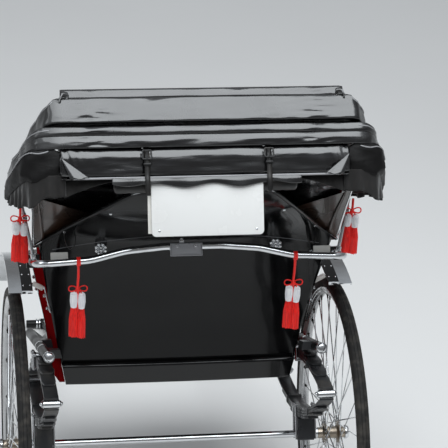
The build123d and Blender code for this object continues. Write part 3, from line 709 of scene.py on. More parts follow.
def spun(profile: Sequence[Point], steps: int) -> bmesh.types.BMesh:
    """Solid of revolution about the X axis.

    Args:
        profile: X and radius of each point, in order. It is closed by itself.
        steps: Faces round it.

    Returns:
        The mesh, about the origin.
    """
    bm = bmesh.new()
    verts = [bm.verts.new((x, 0, radius)) for x, radius in profile]
    edges = [bm.edges.new((a, b)) for a, b in zip(verts, verts[1:] + verts[:1])]
    bmesh.ops.spin(bm, geom=verts + edges, cent=(0, 0, 0), axis=(1, 0, 0), dvec=(0, 0, 0),
                   angle=math.tau, steps=steps, use_merge=True, use_duplicate=False)
    bmesh.ops.remove_doubles(bm, verts=bm.verts, dist=0.001)
    return bm


def piece(bm: bmesh.types.BMesh, name: str, finish: Finish, body: Body = Body.CARRIAGE, sharp: float = 35.0,
          solid: bool = True, matrix: Matrix = TIPPED) -> bpy.types.Object:
    """Makes an object of a mesh, dresses it, and lets it ride on a body.

    Args:
        bm: Level mesh in millimetres. It is used up.
        name: The object's name.
        finish: Its material.
        body: The body it rides on.
        sharp: Edges that turn by more than this many degrees stay sharp.
        solid: A closed shape, whose faces are turned outwards.
        matrix: From the mesh's own millimetres to the row frame.

    Returns:
        The object, at the origin.
    """
    if solid:
        bmesh.ops.recalc_face_normals(bm, faces=bm.faces)
    for face in bm.faces:
        face.smooth = True
    for edge in bm.edges:
        edge.smooth = edge.calc_face_angle(0.0) < math.radians(sharp)
    bm.transform(matrix)
    mesh = bpy.data.meshes.new(name)
    bm.to_mesh(mesh)
    bm.free()
    mesh.materials.append(finish.material())
    made = linked(name, mesh)
    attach(made, body.value)
    return made


def sheet_piece(bm: bmesh.types.BMesh, name: str, finish: Finish, thickness: float, offset: float = 0.0,
                sharp: float = 80.0) -> bpy.types.Object:
    """A piece of an open surface, thickened.

    Args:
        bm: Level mesh in millimetres. It is used up.
        name: The object's name.
        finish: Its material.
        thickness: In millimetres.
        offset: -1 grows it behind its faces, 1 before them and 0 both ways.
        sharp: Edges that turn by more than this many degrees stay sharp.

    Returns:
        The object, at the origin.
    """
    made = piece(bm, name, finish, solid=False, sharp=sharp)
    wall = made.modifiers.new("wall", "SOLIDIFY")
    wall.thickness = thickness / 1000
    wall.offset = offset
    return made


def wire_line(points: Sequence[Point], radius: float, name: str, matrix: Matrix = TIPPED) -> bpy.types.Object:
    """A round line as a curve of one open spline.

    Args:
        points: Its control points, in the matrix's own millimetres.
        radius: In millimetres.
        name: The object's name.
        matrix: From those millimetres to the row frame.

    Returns:
        The curve object.
    """
    curve = bpy.data.curves.new(name, "CURVE")
    curve.dimensions = "3D"
    curve.bevel_depth = radius / 1000
    curve.bevel_resolution = 4
    curve.resolution_u = 8
    curve.use_fill_caps = True
    spline = curve.splines.new("NURBS")
    spline.points.add(len(points) - 1)
    for spot, point in zip(spline.points, points):
        spot.co = (*(matrix @ Vector(point)), 1.0)
    spline.order_u = 3
    spline.use_endpoint_u = True
    return linked(name, curve)


def line_piece(points: Sequence[Point], radius: float, name: str, finish: Finish) -> None:
    """A bead, pipe or welt of the carriage along a smooth line, as a mesh piece.

    Args:
        points: Its level control points.
        radius: In millimetres.
        name: The object's name.
        finish: Its material.
    """
    drawn = wire_line(points, radius, name + "_line")
    mesh = bpy.data.meshes.new_from_object(drawn)
    bpy.data.objects.remove(drawn)
    mesh.name = name
    mesh.materials.clear()
    mesh.materials.append(finish.material())
    mesh.polygons.foreach_set("use_smooth", [True] * len(mesh.polygons))
    made = linked(name, mesh)
    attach(made, Body.CARRIAGE.value)


def dress(node: bpy.types.Object, finish: Finish) -> None:
    """Puts a finish on a CAD node, whose shape stays as it is.

    Args:
        node: The CAD node.
        finish: Its material.
    """
    node.data.materials.clear()
    node.data.materials.append(finish.material())


def smoothed(points: Sequence[Point], times: int) -> list[Vector]:
    """An open line with its corners cut round, both ends kept.

    Args:
        points: The line.
        times: How often every corner is cut.

    Returns:
        The smoother line.
    """
    line = [Vector(p) for p in points]
    for _ in range(times):
        cut = [line[0]]
        for a, b in zip(line, line[1:]):
            cut += [a.lerp(b, 0.25), a.lerp(b, 0.75)]
        line = cut + [line[-1]]
    return line


def evenly(line: Sequence[Vector], count: int) -> list[Vector]:
    """Points at equal distances along a line, its ends among them.

    Args:
        line: The line's points.
        count: How many points it gets.

    Returns:
        The new points.
    """
    runs = [(b - a).length for a, b in zip(line, line[1:])]
    total, spots, index, gone = sum(runs), [], 0, 0.0
    for number in range(count):
        goal = total * number / (count - 1)
        while index < len(runs) - 1 and gone + runs[index] < goal:
            gone += runs[index]
            index += 1
        share = (goal - gone) / runs[index] if runs[index] else 0.0
        spots.append(line[index].lerp(line[index + 1], min(1.0, max(0.0, share))))
    return spots


def ease(value: float, low: float, high: float) -> float:
    """Smooth step from 0 at low to 1 at high."""
    share = min(1.0, max(0.0, (value - low) / (high - low)))
    return share * share * (3 - 2 * share)


def between(value: float, rows: Sequence[tuple[float, float]]) -> float:
    """Straight-line value between rows.

    Args:
        value: The place.
        rows: Places in rising order, each with its value.

    Returns:
        The value at the place.
    """
    for (a, low), (b, high) in zip(rows, rows[1:]):
        if value <= b:
            return low + (high - low) * max(0.0, (value - a) / (b - a))
    return rows[-1][1]


def rounded(value: float, rows: Sequence[tuple[float, float]], reach: int, step: int) -> float:
    """Value between rows with the corners rounded: its mean over a reach each way.

    Args:
        value: The place.
        rows: Places in rising order, each with its value.
        reach: How far the mean goes each way.
        step: Distance from sample to sample.

    Returns:
        The mean value.
    """
    spots = [value + off for off in range(-reach, reach + 1, step)]
    return sum(between(spot, rows) for spot in spots) / len(spots)


def squared(value: float, power: float) -> float:
    """A sine or cosine drawn out towards a square's."""
    return math.copysign(abs(value) ** power, value)


def waves(x: float, y: float, z: float) -> float:
    """Smooth noise at a place, from -1 to 1."""
    return noise.noise(Vector((x, y, z)))


def set_up(made: bpy.types.Object, at: Point, turn: Quaternion) -> None:
    """Puts a camera or lamp at its place, turned its way.

    Args:
        made: The object.
        at: Its place in metres.
        turn: Its rotation.
    """
    made.location = at
    made.rotation_mode = "QUATERNION"
    made.rotation_quaternion = turn


@dataclass(frozen=True)
class Studio:
    """The camera at the photograph's angle, a pale floor and soft light."""

    camera_at: tuple[float, float, float] = (-960.8, -7379.7, 1564.1)
    yaw: float = 8.822
    pitch: float = -2.150
    roll: float = 0.0191
    lens: float = 173.41
    sensor: float = 36.0
    far: float = 200.0
    lamp_colour: tuple[float, float, float] = (0.93, 0.97, 1.0)
    floor_size: float = 90.0

    def place_camera(self) -> None:
        """Makes the camera that sees the level body as the photograph does."""
        yaw, pitch = math.radians(self.yaw), math.radians(self.pitch)
        ahead = Vector((math.sin(yaw) * math.cos(pitch), math.cos(yaw) * math.cos(pitch), math.sin(pitch)))
        right = ahead.cross(Vector((0, 0, 1))).normalized()
        up = right.cross(ahead)
        c, s = math.cos(self.roll), math.sin(self.roll)
        right, up = right * c - up * s, right * s + up * c
        level = Matrix((right, up, -ahead)).transposed().to_4x4()
        level.translation = Vector(self.camera_at)
        where, turn, _ = (TIPPED @ level).decompose()
        data = bpy.data.cameras.new("photo_camera")
        data.lens, data.sensor_width, data.clip_end = self.lens, self.sensor, self.far
        camera = linked("photo_camera", data)
        set_up(camera, where, turn)
        bpy.context.scene.camera = camera

    def lay_floor(self) -> None:
        """Makes the plain pale floor."""
        bm = bmesh.new()
        bmesh.ops.create_grid(bm, x_segments=1, y_segments=1, size=self.floor_size / 2)
        mesh = bpy.data.meshes.new("floor")
        bm.to_mesh(mesh)
        bm.free()
        made = bpy.data.materials.new("pale_studio_floor")
        made.use_nodes = True
        nodes = Nodes(made.node_tree)
        place = nodes.add("ShaderNodeTexCoord")
        cloud = nodes.add("ShaderNodeTexNoise", None, {"Vector": place.outputs["Object"], "Scale": 1.2, "Detail": 5.0})
        nodes.wire(made.node_tree.nodes["Principled BSDF"],
                   {"Base Color": nodes.blend(cloud.outputs[0], "EEEDEB", "F3F2F0"), "Roughness": 0.9,
                    "Specular IOR Level": 0.2})
        mesh.materials.append(made)
        floor = linked("floor", mesh)

    def light(self) -> None:
        """Makes the pale surroundings and two large soft lamps."""
        scene = bpy.context.scene
        scene.view_settings.view_transform = "Standard"
        world = bpy.data.worlds.new("studio")
        world.use_nodes = True
        scene.world = world
        nodes = Nodes(world.node_tree)
        place = nodes.add("ShaderNodeTexCoord")
        split = nodes.add("ShaderNodeSeparateXYZ", None, {0: place.outputs["Generated"]})
        rise = nodes.ranged(split.outputs[2], 0.35, 0.8, 0.0, 1.0)
        nodes.wire(world.node_tree.nodes["Background"],
                   {"Color": nodes.blend(rise, "8A8B8D", "D6DCE2"), "Strength": 0.75})
        for name, place_at, aim, size, power in (
                ("overhead_softbox", (0.3, -1.9, 5.2), (0.1, -0.9, 1.0), 4.2, 215.0),
                ("side_softbox", (-5.0, -1.5, 4.4), (0, -0.2, 1.0), 2.6, 45.0)):
            lamp = bpy.data.lights.new(name, "AREA")
            lamp.size, lamp.energy, lamp.color = size, power, self.lamp_colour
            set_up(linked(name, lamp), place_at, (Vector(aim) - Vector(place_at)).to_track_quat("-Z", "Y"))


@dataclass(frozen=True)
class Wheel:
    """A wire wheel with a solid rubber tyre."""

    side: Side
    radius: float = 545.0
    track: float = 550.0
    rim_inner: float = 485.0
    flange_radius: float = 40.0
    flange_offset: float = 24.0
    spoke_count: int = 40
    spoke_lead: float = 54.0
    head_offset: float = 3.0
    wire: float = 2.0
    steps: int = 144

    def made(self, bm: bmesh.types.BMesh, name: str, finish: Finish, *nodes: str, sharp: float = 35.0) -> None:
        """Sets a part drawn about the origin on the axle and lets it stand for its nodes.

        Args:
            bm: The part's mesh. It is used up.
            name: The part's name, without its side.
            finish: Its material.
            nodes: CAD nodes that it stands for, without their side.
            sharp: Edges that turn by more than this many degrees stay sharp.
        """
        if self.side is Side.LEFT:
            bmesh.ops.scale(bm, vec=(-1, 1, 1), verts=bm.verts)
        bmesh.ops.translate(bm, vec=(self.side.value * self.track, 0, self.radius), verts=bm.verts)
        out = piece(bm, f"{name}_{self.side.label}_dressed", finish, self.side.wheel, sharp)
        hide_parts(*[f"{node}_{self.side.label}" for node in nodes])

    def tyre(self) -> None:
        """Rounded tread with two fine grooves."""
        half = [(0, 545), (4.2, 544.8), (5.0, 543.0), (6.0, 542.9), (6.8, 544.5), (12, 542.8), (17.6, 538.4),
                (21.2, 531), (22, 522), (20.4, 514.5), (15.6, 511)]
        self.made(spun(mirrored(half), self.steps), "tyre", TYRE_RUBBER, "tyre", sharp=50)

    def rim(self) -> None:
        """Box rim with rolled edges and a raised middle where the spokes enter."""
        half = [(0, 484.8), (6, 485), (10, 487.5), (13, 492.5), (14.5, 498), (15.2, 501.5), (17.0, 503),
                (18.0, 506), (17.6, 509), (15.6, 511.2)]
        self.made(spun(mirrored(half), self.steps), "rim", WHEEL_PLATE, "rim", sharp=40)

    def spoke_ends(self) -> list[tuple[Vector, Vector]]:
        """Ends of the spokes.

        Returns:
            Foot at the flange and head at the rim of every spoke, about the origin.
        """
        ends = []
        for number in range(self.spoke_count):
            flange = 1 if number % 2 else -1
            lean = 1 if (number // 2) % 2 else -1
            angle = 360.0 * (number + 0.5) / self.spoke_count
            foot, head = math.radians(angle - lean * self.spoke_lead), math.radians(angle)
            inner, outer = self.flange_radius - 3, self.rim_inner + 1
            ends.append((Vector((flange * self.flange_offset, inner * math.cos(foot), inner * math.sin(foot))),
                         Vector((flange * self.head_offset, outer * math.cos(head), outer * math.sin(head)))))
        return ends

    def spokes(self) -> None:
        """Wires, with a rounded head where each hooks through its flange."""
        bm, nipples = bmesh.new(), bmesh.new()
        for foot, head in self.spoke_ends():
            along = (head - foot).normalized()
            out = math.copysign(1, foot.x)
            add_rod(bm, foot, head, self.wire, segments=8)
            add_dome(bm, foot + Vector((3.5 * out, 0, 0)), (out, 0, 0), 3.4, 2.2, 8)
            add_rod(nipples, head - along * 17, head - along * 2, 2.7, 3.6, 8)
            add_rod(nipples, head - along * 4, head, 5.0, 4.4, 10)
        self.made(bm, "spokes", CHROME, "spokes")
        self.made(nipples, "nipples", NIPPLE_BRASS)

    def hub(self) -> None:
        """Turned barrel with two flanges, a lock ring, a cap and a grease nipple."""
        profile = [(-50, 12.6), (-50, 17.5), (-48.5, 19), (-32, 19), (-30, 24), (-28, 26), (-26.6, 37.5), (-25.4, 40),
                   (-22.6, 40), (-21.4, 37.5), (-20, 26), (-16, 21.5), (0, 20), (16, 21.5), (20, 26), (21.4, 37.5),
                   (22.6, 40), (25.4, 40), (26.6, 37.5), (28, 26), (31, 21), (36, 19.4), (44, 19), (46, 20)]
        cap = [(46, 23), (47, 24), (53, 24), (54, 23.2), (58, 21.5), (61, 17), (62, 10), (62, 0.01), (46, 0.01)]
        self.made(spun([*profile, (46, 12.6)], 48), "hub", HUB_SLEEVE, "hub")
        self.made(spun(cap, 36), "hub_cap", CHROME)
        bm = bmesh.new()
        add_rod(bm, (0, 0, 19), (0, 0, 25), 4.5, segments=6)
        add_rod(bm, (0, 0, 25), (0, 0, 31), 2.6, 1.8, 10)
        self.made(bm, "grease_nipple", CHROME)

    def build(self) -> None:
        """Builds the wheel."""
        self.tyre()
        self.rim()
        self.spokes()
        self.hub()


@dataclass(frozen=True)
class Springs:
    """Elliptic leaf springs of one side with their clamps."""

    side: Side
    track: float = 455.0
    width: float = 48.0
    leaf: float = 9.0
    span: float = 430.0
    eye_height: float = 727.0
    lower_top: float = 640.0
    upper_bottom: float = 814.0
    setbacks: tuple[float, ...] = (0.0, 80.0, 160.0, 240.0)
    overrun: float = 11.0
    eye_radius: float = 15.0
    clip_y: float = 185.0
    plate_bottom: float = 850.2
    plate_top: float = 857.0
    bolt_x: float = 29.5
    bolt_y: float = 30.0
    block_bolt_x: float = 33.5
    block_bolt_y: float = 22.0

    def arc(self, centre: float) -> tuple[float, float]:
        """The arc that a pack's leaves follow.

        Args:
            centre: Height of the pack's inner face over the axle.

        Returns:
            Height of the arc's middle, and its radius.
        """
        rise = self.eye_height - centre
        radius = (self.span ** 2 + rise ** 2) / (2 * abs(rise))
        return centre + math.copysign(radius, rise), radius

    def eye_y(self) -> float:
        """How far the eyes sit before and behind the axle."""
        middle, radius = self.arc(self.lower_top)
        return math.sqrt((radius - self.eye_radius - 0.3) ** 2 - (middle - self.eye_height) ** 2)

    def pack(self, centre: float, sign: int, name: str) -> None:
        """Bent leaves with rounded edges and tapered ends, and the clips that hold them together.

        Args:
            centre: Height of the pack's inner face over the axle.
            sign: 1 for the upper pack and -1 for the lower.
            name: The CAD node's name, without its side.
        """
        middle, radius = self.arc(centre)
        bm = bmesh.new()
        for number, setback in enumerate(self.setbacks):
            half = self.eye_y() + self.overrun - setback
            low = radius + number * self.leaf
            leaf = bmesh.new()
            bmesh.ops.create_cube(leaf, size=1.0, matrix=Matrix.Diagonal((self.width, half * 2, self.leaf - 0.7, 1)))
            bevel(leaf, [e for e in leaf.edges if run_y(e) > half], 1.6, 2)
            long = [e for e in leaf.edges if run_y(e) > half]
            bmesh.ops.subdivide_edges(leaf, edges=long, cuts=40, use_grid_fill=True)
            for vert in leaf.verts:
                x, y, t = vert.co
                taper = 1 - 0.32 * ease(abs(y), half - 26, half) if number else 1.0
                r = low + self.leaf / 2 + t * (1 - 0.3 * ease(abs(y), half - 40, half))
                vert.co = (self.side.value * self.track + x * taper, y, middle + sign * math.sqrt(r * r - y * y))
            mesh = bpy.data.meshes.new("leaf")
            leaf.to_mesh(mesh)
            leaf.free()
            bm.from_mesh(mesh)
            bpy.data.meshes.remove(mesh)
        x, r = self.side.value * self.track, radius + self.leaf
        for y in (-self.clip_y, self.clip_y):
            z = middle + sign * math.sqrt(r * r - y * y)
            slope = Matrix.Rotation(-sign * y / r, 4, "X")
            add_box(bm, (x - 27, y - 9, z - 14), (x + 27, y + 9, z + 14), 1.5, turn=slope)
        out = piece(bm, f"{name}_{self.side.label}_leaves", SPRING_PAINT, sharp=30)
        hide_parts(f"{name}_{self.side.label}")

    def eyes(self) -> None:
        """Rolled eyes with a pin and acorn nuts at each end of the packs."""
        bm, x, z = bmesh.new(), self.side.value * self.track, self.eye_height
        for y in (-self.eye_y(), self.eye_y()):
            add_rod(bm, (x - self.width / 2, y, z), (x + self.width / 2, y, z), self.eye_radius, segments=28)
            for out in (-1, 1):
                edge = x + out * self.width / 2
                add_rod(bm, (edge, y, z), (edge + out * 3, y, z), 13.5, segments=28)
                add_rod(bm, (edge + out * 3, y, z), (edge + out * 8, y, z), 10.5, segments=6)
                add_dome(bm, (edge + out * 8, y, z), (out, 0, 0), 7.5, 6.5)
        out = piece(bm, f"spring_eyes_{self.side.label}_pins", CHROME)
        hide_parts(f"spring_eyes_{self.side.label}")

    def clamp(self) -> None:
        """Plate and U bolts with their nuts over the upper pack, and nuts under the axle block."""
        x0, bm = self.side.value * self.track, bmesh.new()
        add_box(bm, (x0 - 36, -45, self.plate_bottom), (x0 + 36, 45, self.plate_top), 1.6)
        for y in (-self.bolt_y, self.bolt_y):
            for x in (x0 - self.bolt_x, x0 + self.bolt_x):
                add_rod(bm, (x, y, 803), (x, y, 866), 5, segments=14)
                add_bolt(bm, (x, y, self.plate_top), (0, 0, 1), 8)
            add_rod(bm, (x0 - self.bolt_x, y, 806), (x0 + self.bolt_x, y, 806), 4.5, segments=12)
        out = piece(bm, f"spring_clamp_{self.side.label}_bolts", CHROME)
        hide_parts(f"spring_clamp_{self.side.label}")
        low = bmesh.new()
        for y in (-self.block_bolt_y, self.block_bolt_y):
            for x in (x0 - self.block_bolt_x, x0 + self.block_bolt_x):
                add_rod(low, (x, y, 528), (x, y, 645), 4, segments=12)
                add_bolt(low, (x, y, 641), (0, 0, 1), 6.5)
        piece(low, f"axle_u_bolts_{self.side.label}", CHROME)

    def build(self) -> None:
        """Builds this side's springs."""
        self.pack(self.lower_top, -1, "spring_lower")
        self.pack(self.upper_bottom, 1, "spring_upper")
        self.eyes()
        self.clamp()


@dataclass(frozen=True)
class Coachwork:
    """The lacquered seat body, its bowed rear shell and the fittings on it."""

    bottom: float = 764.0
    height: float = 651.0
    low_half: float = 385.0
    high_half: float = 520.0
    rows: tuple[tuple[float, float, float], ...] = (
        (0.0, -90.0, 25.0), (0.301, -170.0, 35.0), (0.516, -258.0, 45.0),
        (0.77, -408.0, 62.0), (0.869, -480.0, 200.0), (1.0, -600.0, 250.0))
    lip: tuple[tuple[float, float], ...] = ((0.0, 1415.0), (208.0, 1415.0), (225.0, 1409.0), (245.0, 1396.5),
                                            (505.0, 1237.5), (540.0, 1214.0))
    guard_y: float = 150.0
    guard_z: float = 395.0
    guard_radius: float = 800.0
    stays: tuple[tuple[float, float], ...] = ((-26.3, 24.0), (6.0, 65.0))
    ear_low: float = 1238.0
    ear_high: float = 1411.0
    rosette: tuple[float, float] = (287.0, 1227.0)
    stud: tuple[float, float] = (276.0, 1349.0)
    rivets: int = 10
    mat_ribs: int = 34

    def half_width(self, z: float) -> float:
        """Outer half width of the flared body at a height."""
        return self.low_half + (self.high_half - self.low_half) * (z - self.bottom) / self.height

    def edge_and_bow(self, z: float) -> tuple[float, float]:
        """The shell's plan at a height, eased over the corners.

        Args:
            z: The height.

        Returns:
            Y of the shell's edges, and how far its middle bows out.
        """
        edges = [(share * self.height, y) for share, y, _ in self.rows]
        bows = [(share * self.height, bow) for share, _, bow in self.rows]
        edges = [(-200.0, edges[0][1] + 60), *edges, (self.height + 200, edges[-1][1] - 183)]
        return rounded(z - self.bottom, edges, 36, 9), rounded(z - self.bottom, bows, 36, 9)

    def shell_y(self, x: float, z: float) -> float:
        """Y of the shell's outer face.

        Args:
            x: Place across.
            z: Height.

        Returns:
            The Y value.
        """
        half = self.half_width(z)
        edge, bow = self.edge_and_bow(z)
        radius = (half * half + bow * bow) / (2 * bow)
        x = min(abs(x), half)
        return edge - (math.sqrt(radius * radius - x * x) - (radius - bow))

    def shell_spot(self, x: float, z: float) -> tuple[Vector, Vector]:
        """A point on the shell.

        Args:
            x: Place across.
            z: Height.

        Returns:
            The point and the direction that faces away from it.
        """
        at = Vector((x, self.shell_y(x, z), z))
        across = Vector((x + 5, self.shell_y(x + 5, z), z)) - at
        rise = Vector((x, self.shell_y(x, z + 5), z + 5)) - at
        facing = across.cross(rise).normalized()
        return at, facing if facing.y < 0 else -facing

    def lip_height(self, x: float) -> float:
        """Height of the shell's lip at an X value, its corners eased."""
        return rounded(abs(x), self.lip, 14, 7)

    def shell(self) -> None:
        """Smooth rear shell with its bright lip and its crease moulding."""
        def place(u: float, v: float) -> Point:
            """Point of the outer face, below the lip.

            Args:
                u: Share along the first direction, from 0 to 1.
                v: Share along the second direction, from 0 to 1.

            Returns:
                Its place.
            """
            share = 2 * u - 1
            top = 1300.0
            for _ in range(12):
                top = self.lip_height(share * self.half_width(top))
            z = self.bottom + (top - self.bottom) * v
            x = share * self.half_width(z)
            return (x, self.shell_y(x, z), z)

        shell = sheet_piece(surface(96, 90, place), "body_shell_lacquered", BLACK_LACQUER, 13.0, -1.0, 60)
        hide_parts("body_shell")
        lip = []
        for number in range(61):
            x = (number / 30 - 1) * 500
            z = self.lip_height(x)
            lip.append((x, self.shell_y(x, z) + 5, z))
        line_piece(lip, 5.5, "shell_lip_bead", BLACK_LACQUER)
        line_piece([(x, y - 5.2, z + 1.5) for x, y, z in lip], 1.8, "shell_lip_trim", CHROME)
        heights = [(x, 1272 - 32 * (x / 380) ** 2) for x in range(-440, 441, 20)]
        crease = [(x, self.shell_y(x, z) + 1.0, z) for x, z in heights]
        line_piece(crease, 1.6, "shell_crease_moulding", PIPING_LACQUER)

    def ornaments(self) -> None:
        """Plated rosettes and studs on the shell, in pairs."""
        bm = bmesh.new()
        for side in (-1, 1):
            at, _ = self.shell_spot(side * self.rosette[0], self.rosette[1])
            facing = Vector((0, -1, 0.12)).normalized()
            place = Matrix.Translation(at + facing * 21) @ facing_matrix(facing)
            add_rod(bm, at - facing * 4, at + facing * 21, 9, segments=24)
            add_rod(bm, at + facing * 17, at + facing * 21, 18, segments=32)
            for number in range(8):
                angle = math.tau * (number + 0.5) / 8
                add_dome(bm, place @ Vector((15.5 * math.cos(angle), 15.5 * math.sin(angle), 0)), facing, 6.2, 5.5)
            for x in (-4.5, 4.5):
                add_dome(bm, place @ Vector((0, x, 1)), facing, 5.5, 6, 16)
            spot, away = self.shell_spot(side * self.stud[0], self.stud[1])
            add_dome(bm, spot, away, 5.5, 4)
        piece(bm, "shell_rosettes_and_studs", CHROME, sharp=50)

    def edging(self) -> None:
        """Black edge rolls on the side boards, the ear panels and the bright strips on their edges."""
        outline = [(-585, 1415), (-525, 1409), (-330, 1275), (-130, 1172), (250, 1172), (312, 1082),
                   (270, 940), (470, 845), (730, 795)]
        line = smoothed([(0, y, z) for y, z in outline], 3)
        for side in Side:
            spots = [(side.value * (self.half_width(p.z) - 9), p.y, p.z + 1) for p in line[::2]]
            line_piece(spots, 10.5, f"side_edge_roll_{side.label}", BLACK_LACQUER)
            for name, finish, first, last, back in (
                    ("ear_panel", BROWN_LACQUER_WITH_PAINTED_REFLECTION, 0.0, 1.0, 7.0), ("ear_edge_strip", CHROME, 0.86, 1.03, 3.6)):
                def place(u: float, v: float, sign: int = side.value, first: float = first,
                          last: float = last, back: float = back) -> Point:
                    """Point of the ear, from the body side out to its edge.

                    Args:
                        u: Share along the first direction, from 0 to 1.
                        v: Share along the second direction, from 0 to 1.
                        sign: 1 on the right and -1 on the left.
                        first: Share of the ear where it starts.
                        last: Share of the ear where it ends.
                        back: Distance in Y from the shell's edge.

                    Returns:
                        Its place.
                    """
                    z = self.ear_low + (self.ear_high - self.ear_low) * v
                    low, high = self.half_width(z) - 24, 505 + 10 * v
                    x = low + (high - low) * (first + (last - first) * u)
                    return (sign * x, self.edge_and_bow(z)[0] + back, z)

                sheet_piece(surface(4, 24, place), f"{name}_{side.label}", finish, 3.0, sharp=35)

    def guard_point(self, radius: float, angle: float) -> Vector:
        """Y and Z on an arc about the mudguards' middle, and X = 0."""
        turn = math.radians(angle)
        return Vector((0, self.guard_y + radius * math.sin(turn), self.guard_z + radius * math.cos(turn)))

    def stay_feet(self) -> list[tuple[float, float]]:
        """Y and Z where each mudguard stay meets the body side."""
        spots = [(self.guard_point(self.guard_radius, angle), drop) for angle, drop in self.stays]
        return [(spot.y, spot.z - drop) for spot, drop in spots]

    def fittings(self) -> None:
        """Mat, dash roll, stay brackets, acorn nuts and sleeves."""
        mat = bmesh.new()
        add_box(mat, (-352, 296, 745.2), (352, 704, 748.5), 1.5)
        for number in range(self.mat_ribs):
            x = -340 + number * 680 / (self.mat_ribs - 1)
            add_box(mat, (x - 4, 304, 748), (x + 4, 696, 750.5), 1.0, 1)
        piece(mat, "foot_mat", MAT_RUBBER)
        half = self.half_width(745.0) + 2
        line_piece([(-half, 789, 856), (0, 789, 856), (half, 789, 856)], 11, "dash_roll", BLACK_LACQUER)
        plates, nuts, sleeves = bmesh.new(), bmesh.new(), bmesh.new()
        for side in (-1, 1):
            for y, z in self.stay_feet():
                lean = Matrix.Rotation(side * math.atan2(self.high_half - self.low_half, self.height), 4, "Y")
                x = side * (self.half_width(z - 34) + 2.2)
                add_box(plates, (x - 2, y - 10, z - 78), (x + 2, y + 10, z + 12), 1.2, turn=lean)
                for drop in (20, 62):
                    spot = (side * (self.half_width(z - drop) + 4), y, z - drop)
                    add_bolt(nuts, spot, (side, 0, -0.2), 6.5, 5)
            (y, foot), drop = self.stay_feet()[0], self.stays[0][1]
            add_rod(sleeves, (side * (self.half_width(foot) + 8), y, foot + 4), (side * 494, y, foot + drop - 3),
                    8.5, segments=24)
        piece(plates, "stay_brackets", CHROME)
        piece(nuts, "stay_bracket_nuts", CHROME)
        piece(sleeves, "stay_sleeves", WHITE_SLEEVE)

    def wings(self) -> None:
        """Rivets on the wing boards and the bright strips at their rear ends."""
        bm, strips = bmesh.new(), bmesh.new()
        for side in (-1, 1):
            for number in range(self.rivets):
                angle = -28 + number * 5.4
                out = (self.guard_point(1, angle) - self.guard_point(0, angle)).normalized()
                for x in (504, 527):
                    spot = self.guard_point(self.guard_radius + 4, angle) + Vector((side * x, 0, 0))
                    add_dome(bm, spot, out, 3.6, 2.6, 10)
            mid = self.guard_point(self.guard_radius, -30.5) + Vector((side * 515.7, 0, 0))
            half = Vector((18.5, 1.6, 6))
            add_box(strips, mid - half, mid + half, 1.0, turn=Matrix.Rotation(math.radians(30.5), 4, "X"))
        piece(bm, "wing_board_rivets", CHROME)
        piece(strips, "wing_board_end_strips", CHROME)

    def dress_nodes(self, nodes: dict[str, bpy.types.Object]) -> None:
        """Gives the CAD nodes that stay as drawn their finish.

        Args:
            nodes: The CAD nodes by name.
        """
        for finish, names in (
                (BLACK_LACQUER, ("body_floor", "seat_front_board", "seat_board", "foot_board", "dash_board")),
                (POLISHED_LACQUER, ("body_moulding",)),
                (WORN_LACQUER, ("wing_board_left", "wing_board_right", "shaft_left", "shaft_right", "grab_bar")),
                (BROWN_LACQUER_WITH_PAINTED_REFLECTION, ("body_back",)), (RED_LACQUER, ("body_side_left", "body_side_right")),
                (CHROME, ("push_bar", "axle", "mudguard_left", "mudguard_right", "mudguard_stays", "hood_stays")),
                (SPRING_PAINT, ("axle_pad_left", "axle_pad_right", "bearers")),
                (BLACK_ENAMEL, ("push_bar_brackets",))):
            for name in names:
                dress(nodes[name], finish)

    def build(self, nodes: dict[str, bpy.types.Object]) -> None:
        """Builds the body's looks.

        Args:
            nodes: The CAD nodes by name.
        """
        self.dress_nodes(nodes)
        self.shell()
        self.ornaments()
        self.edging()
        self.fittings()
        self.wings()


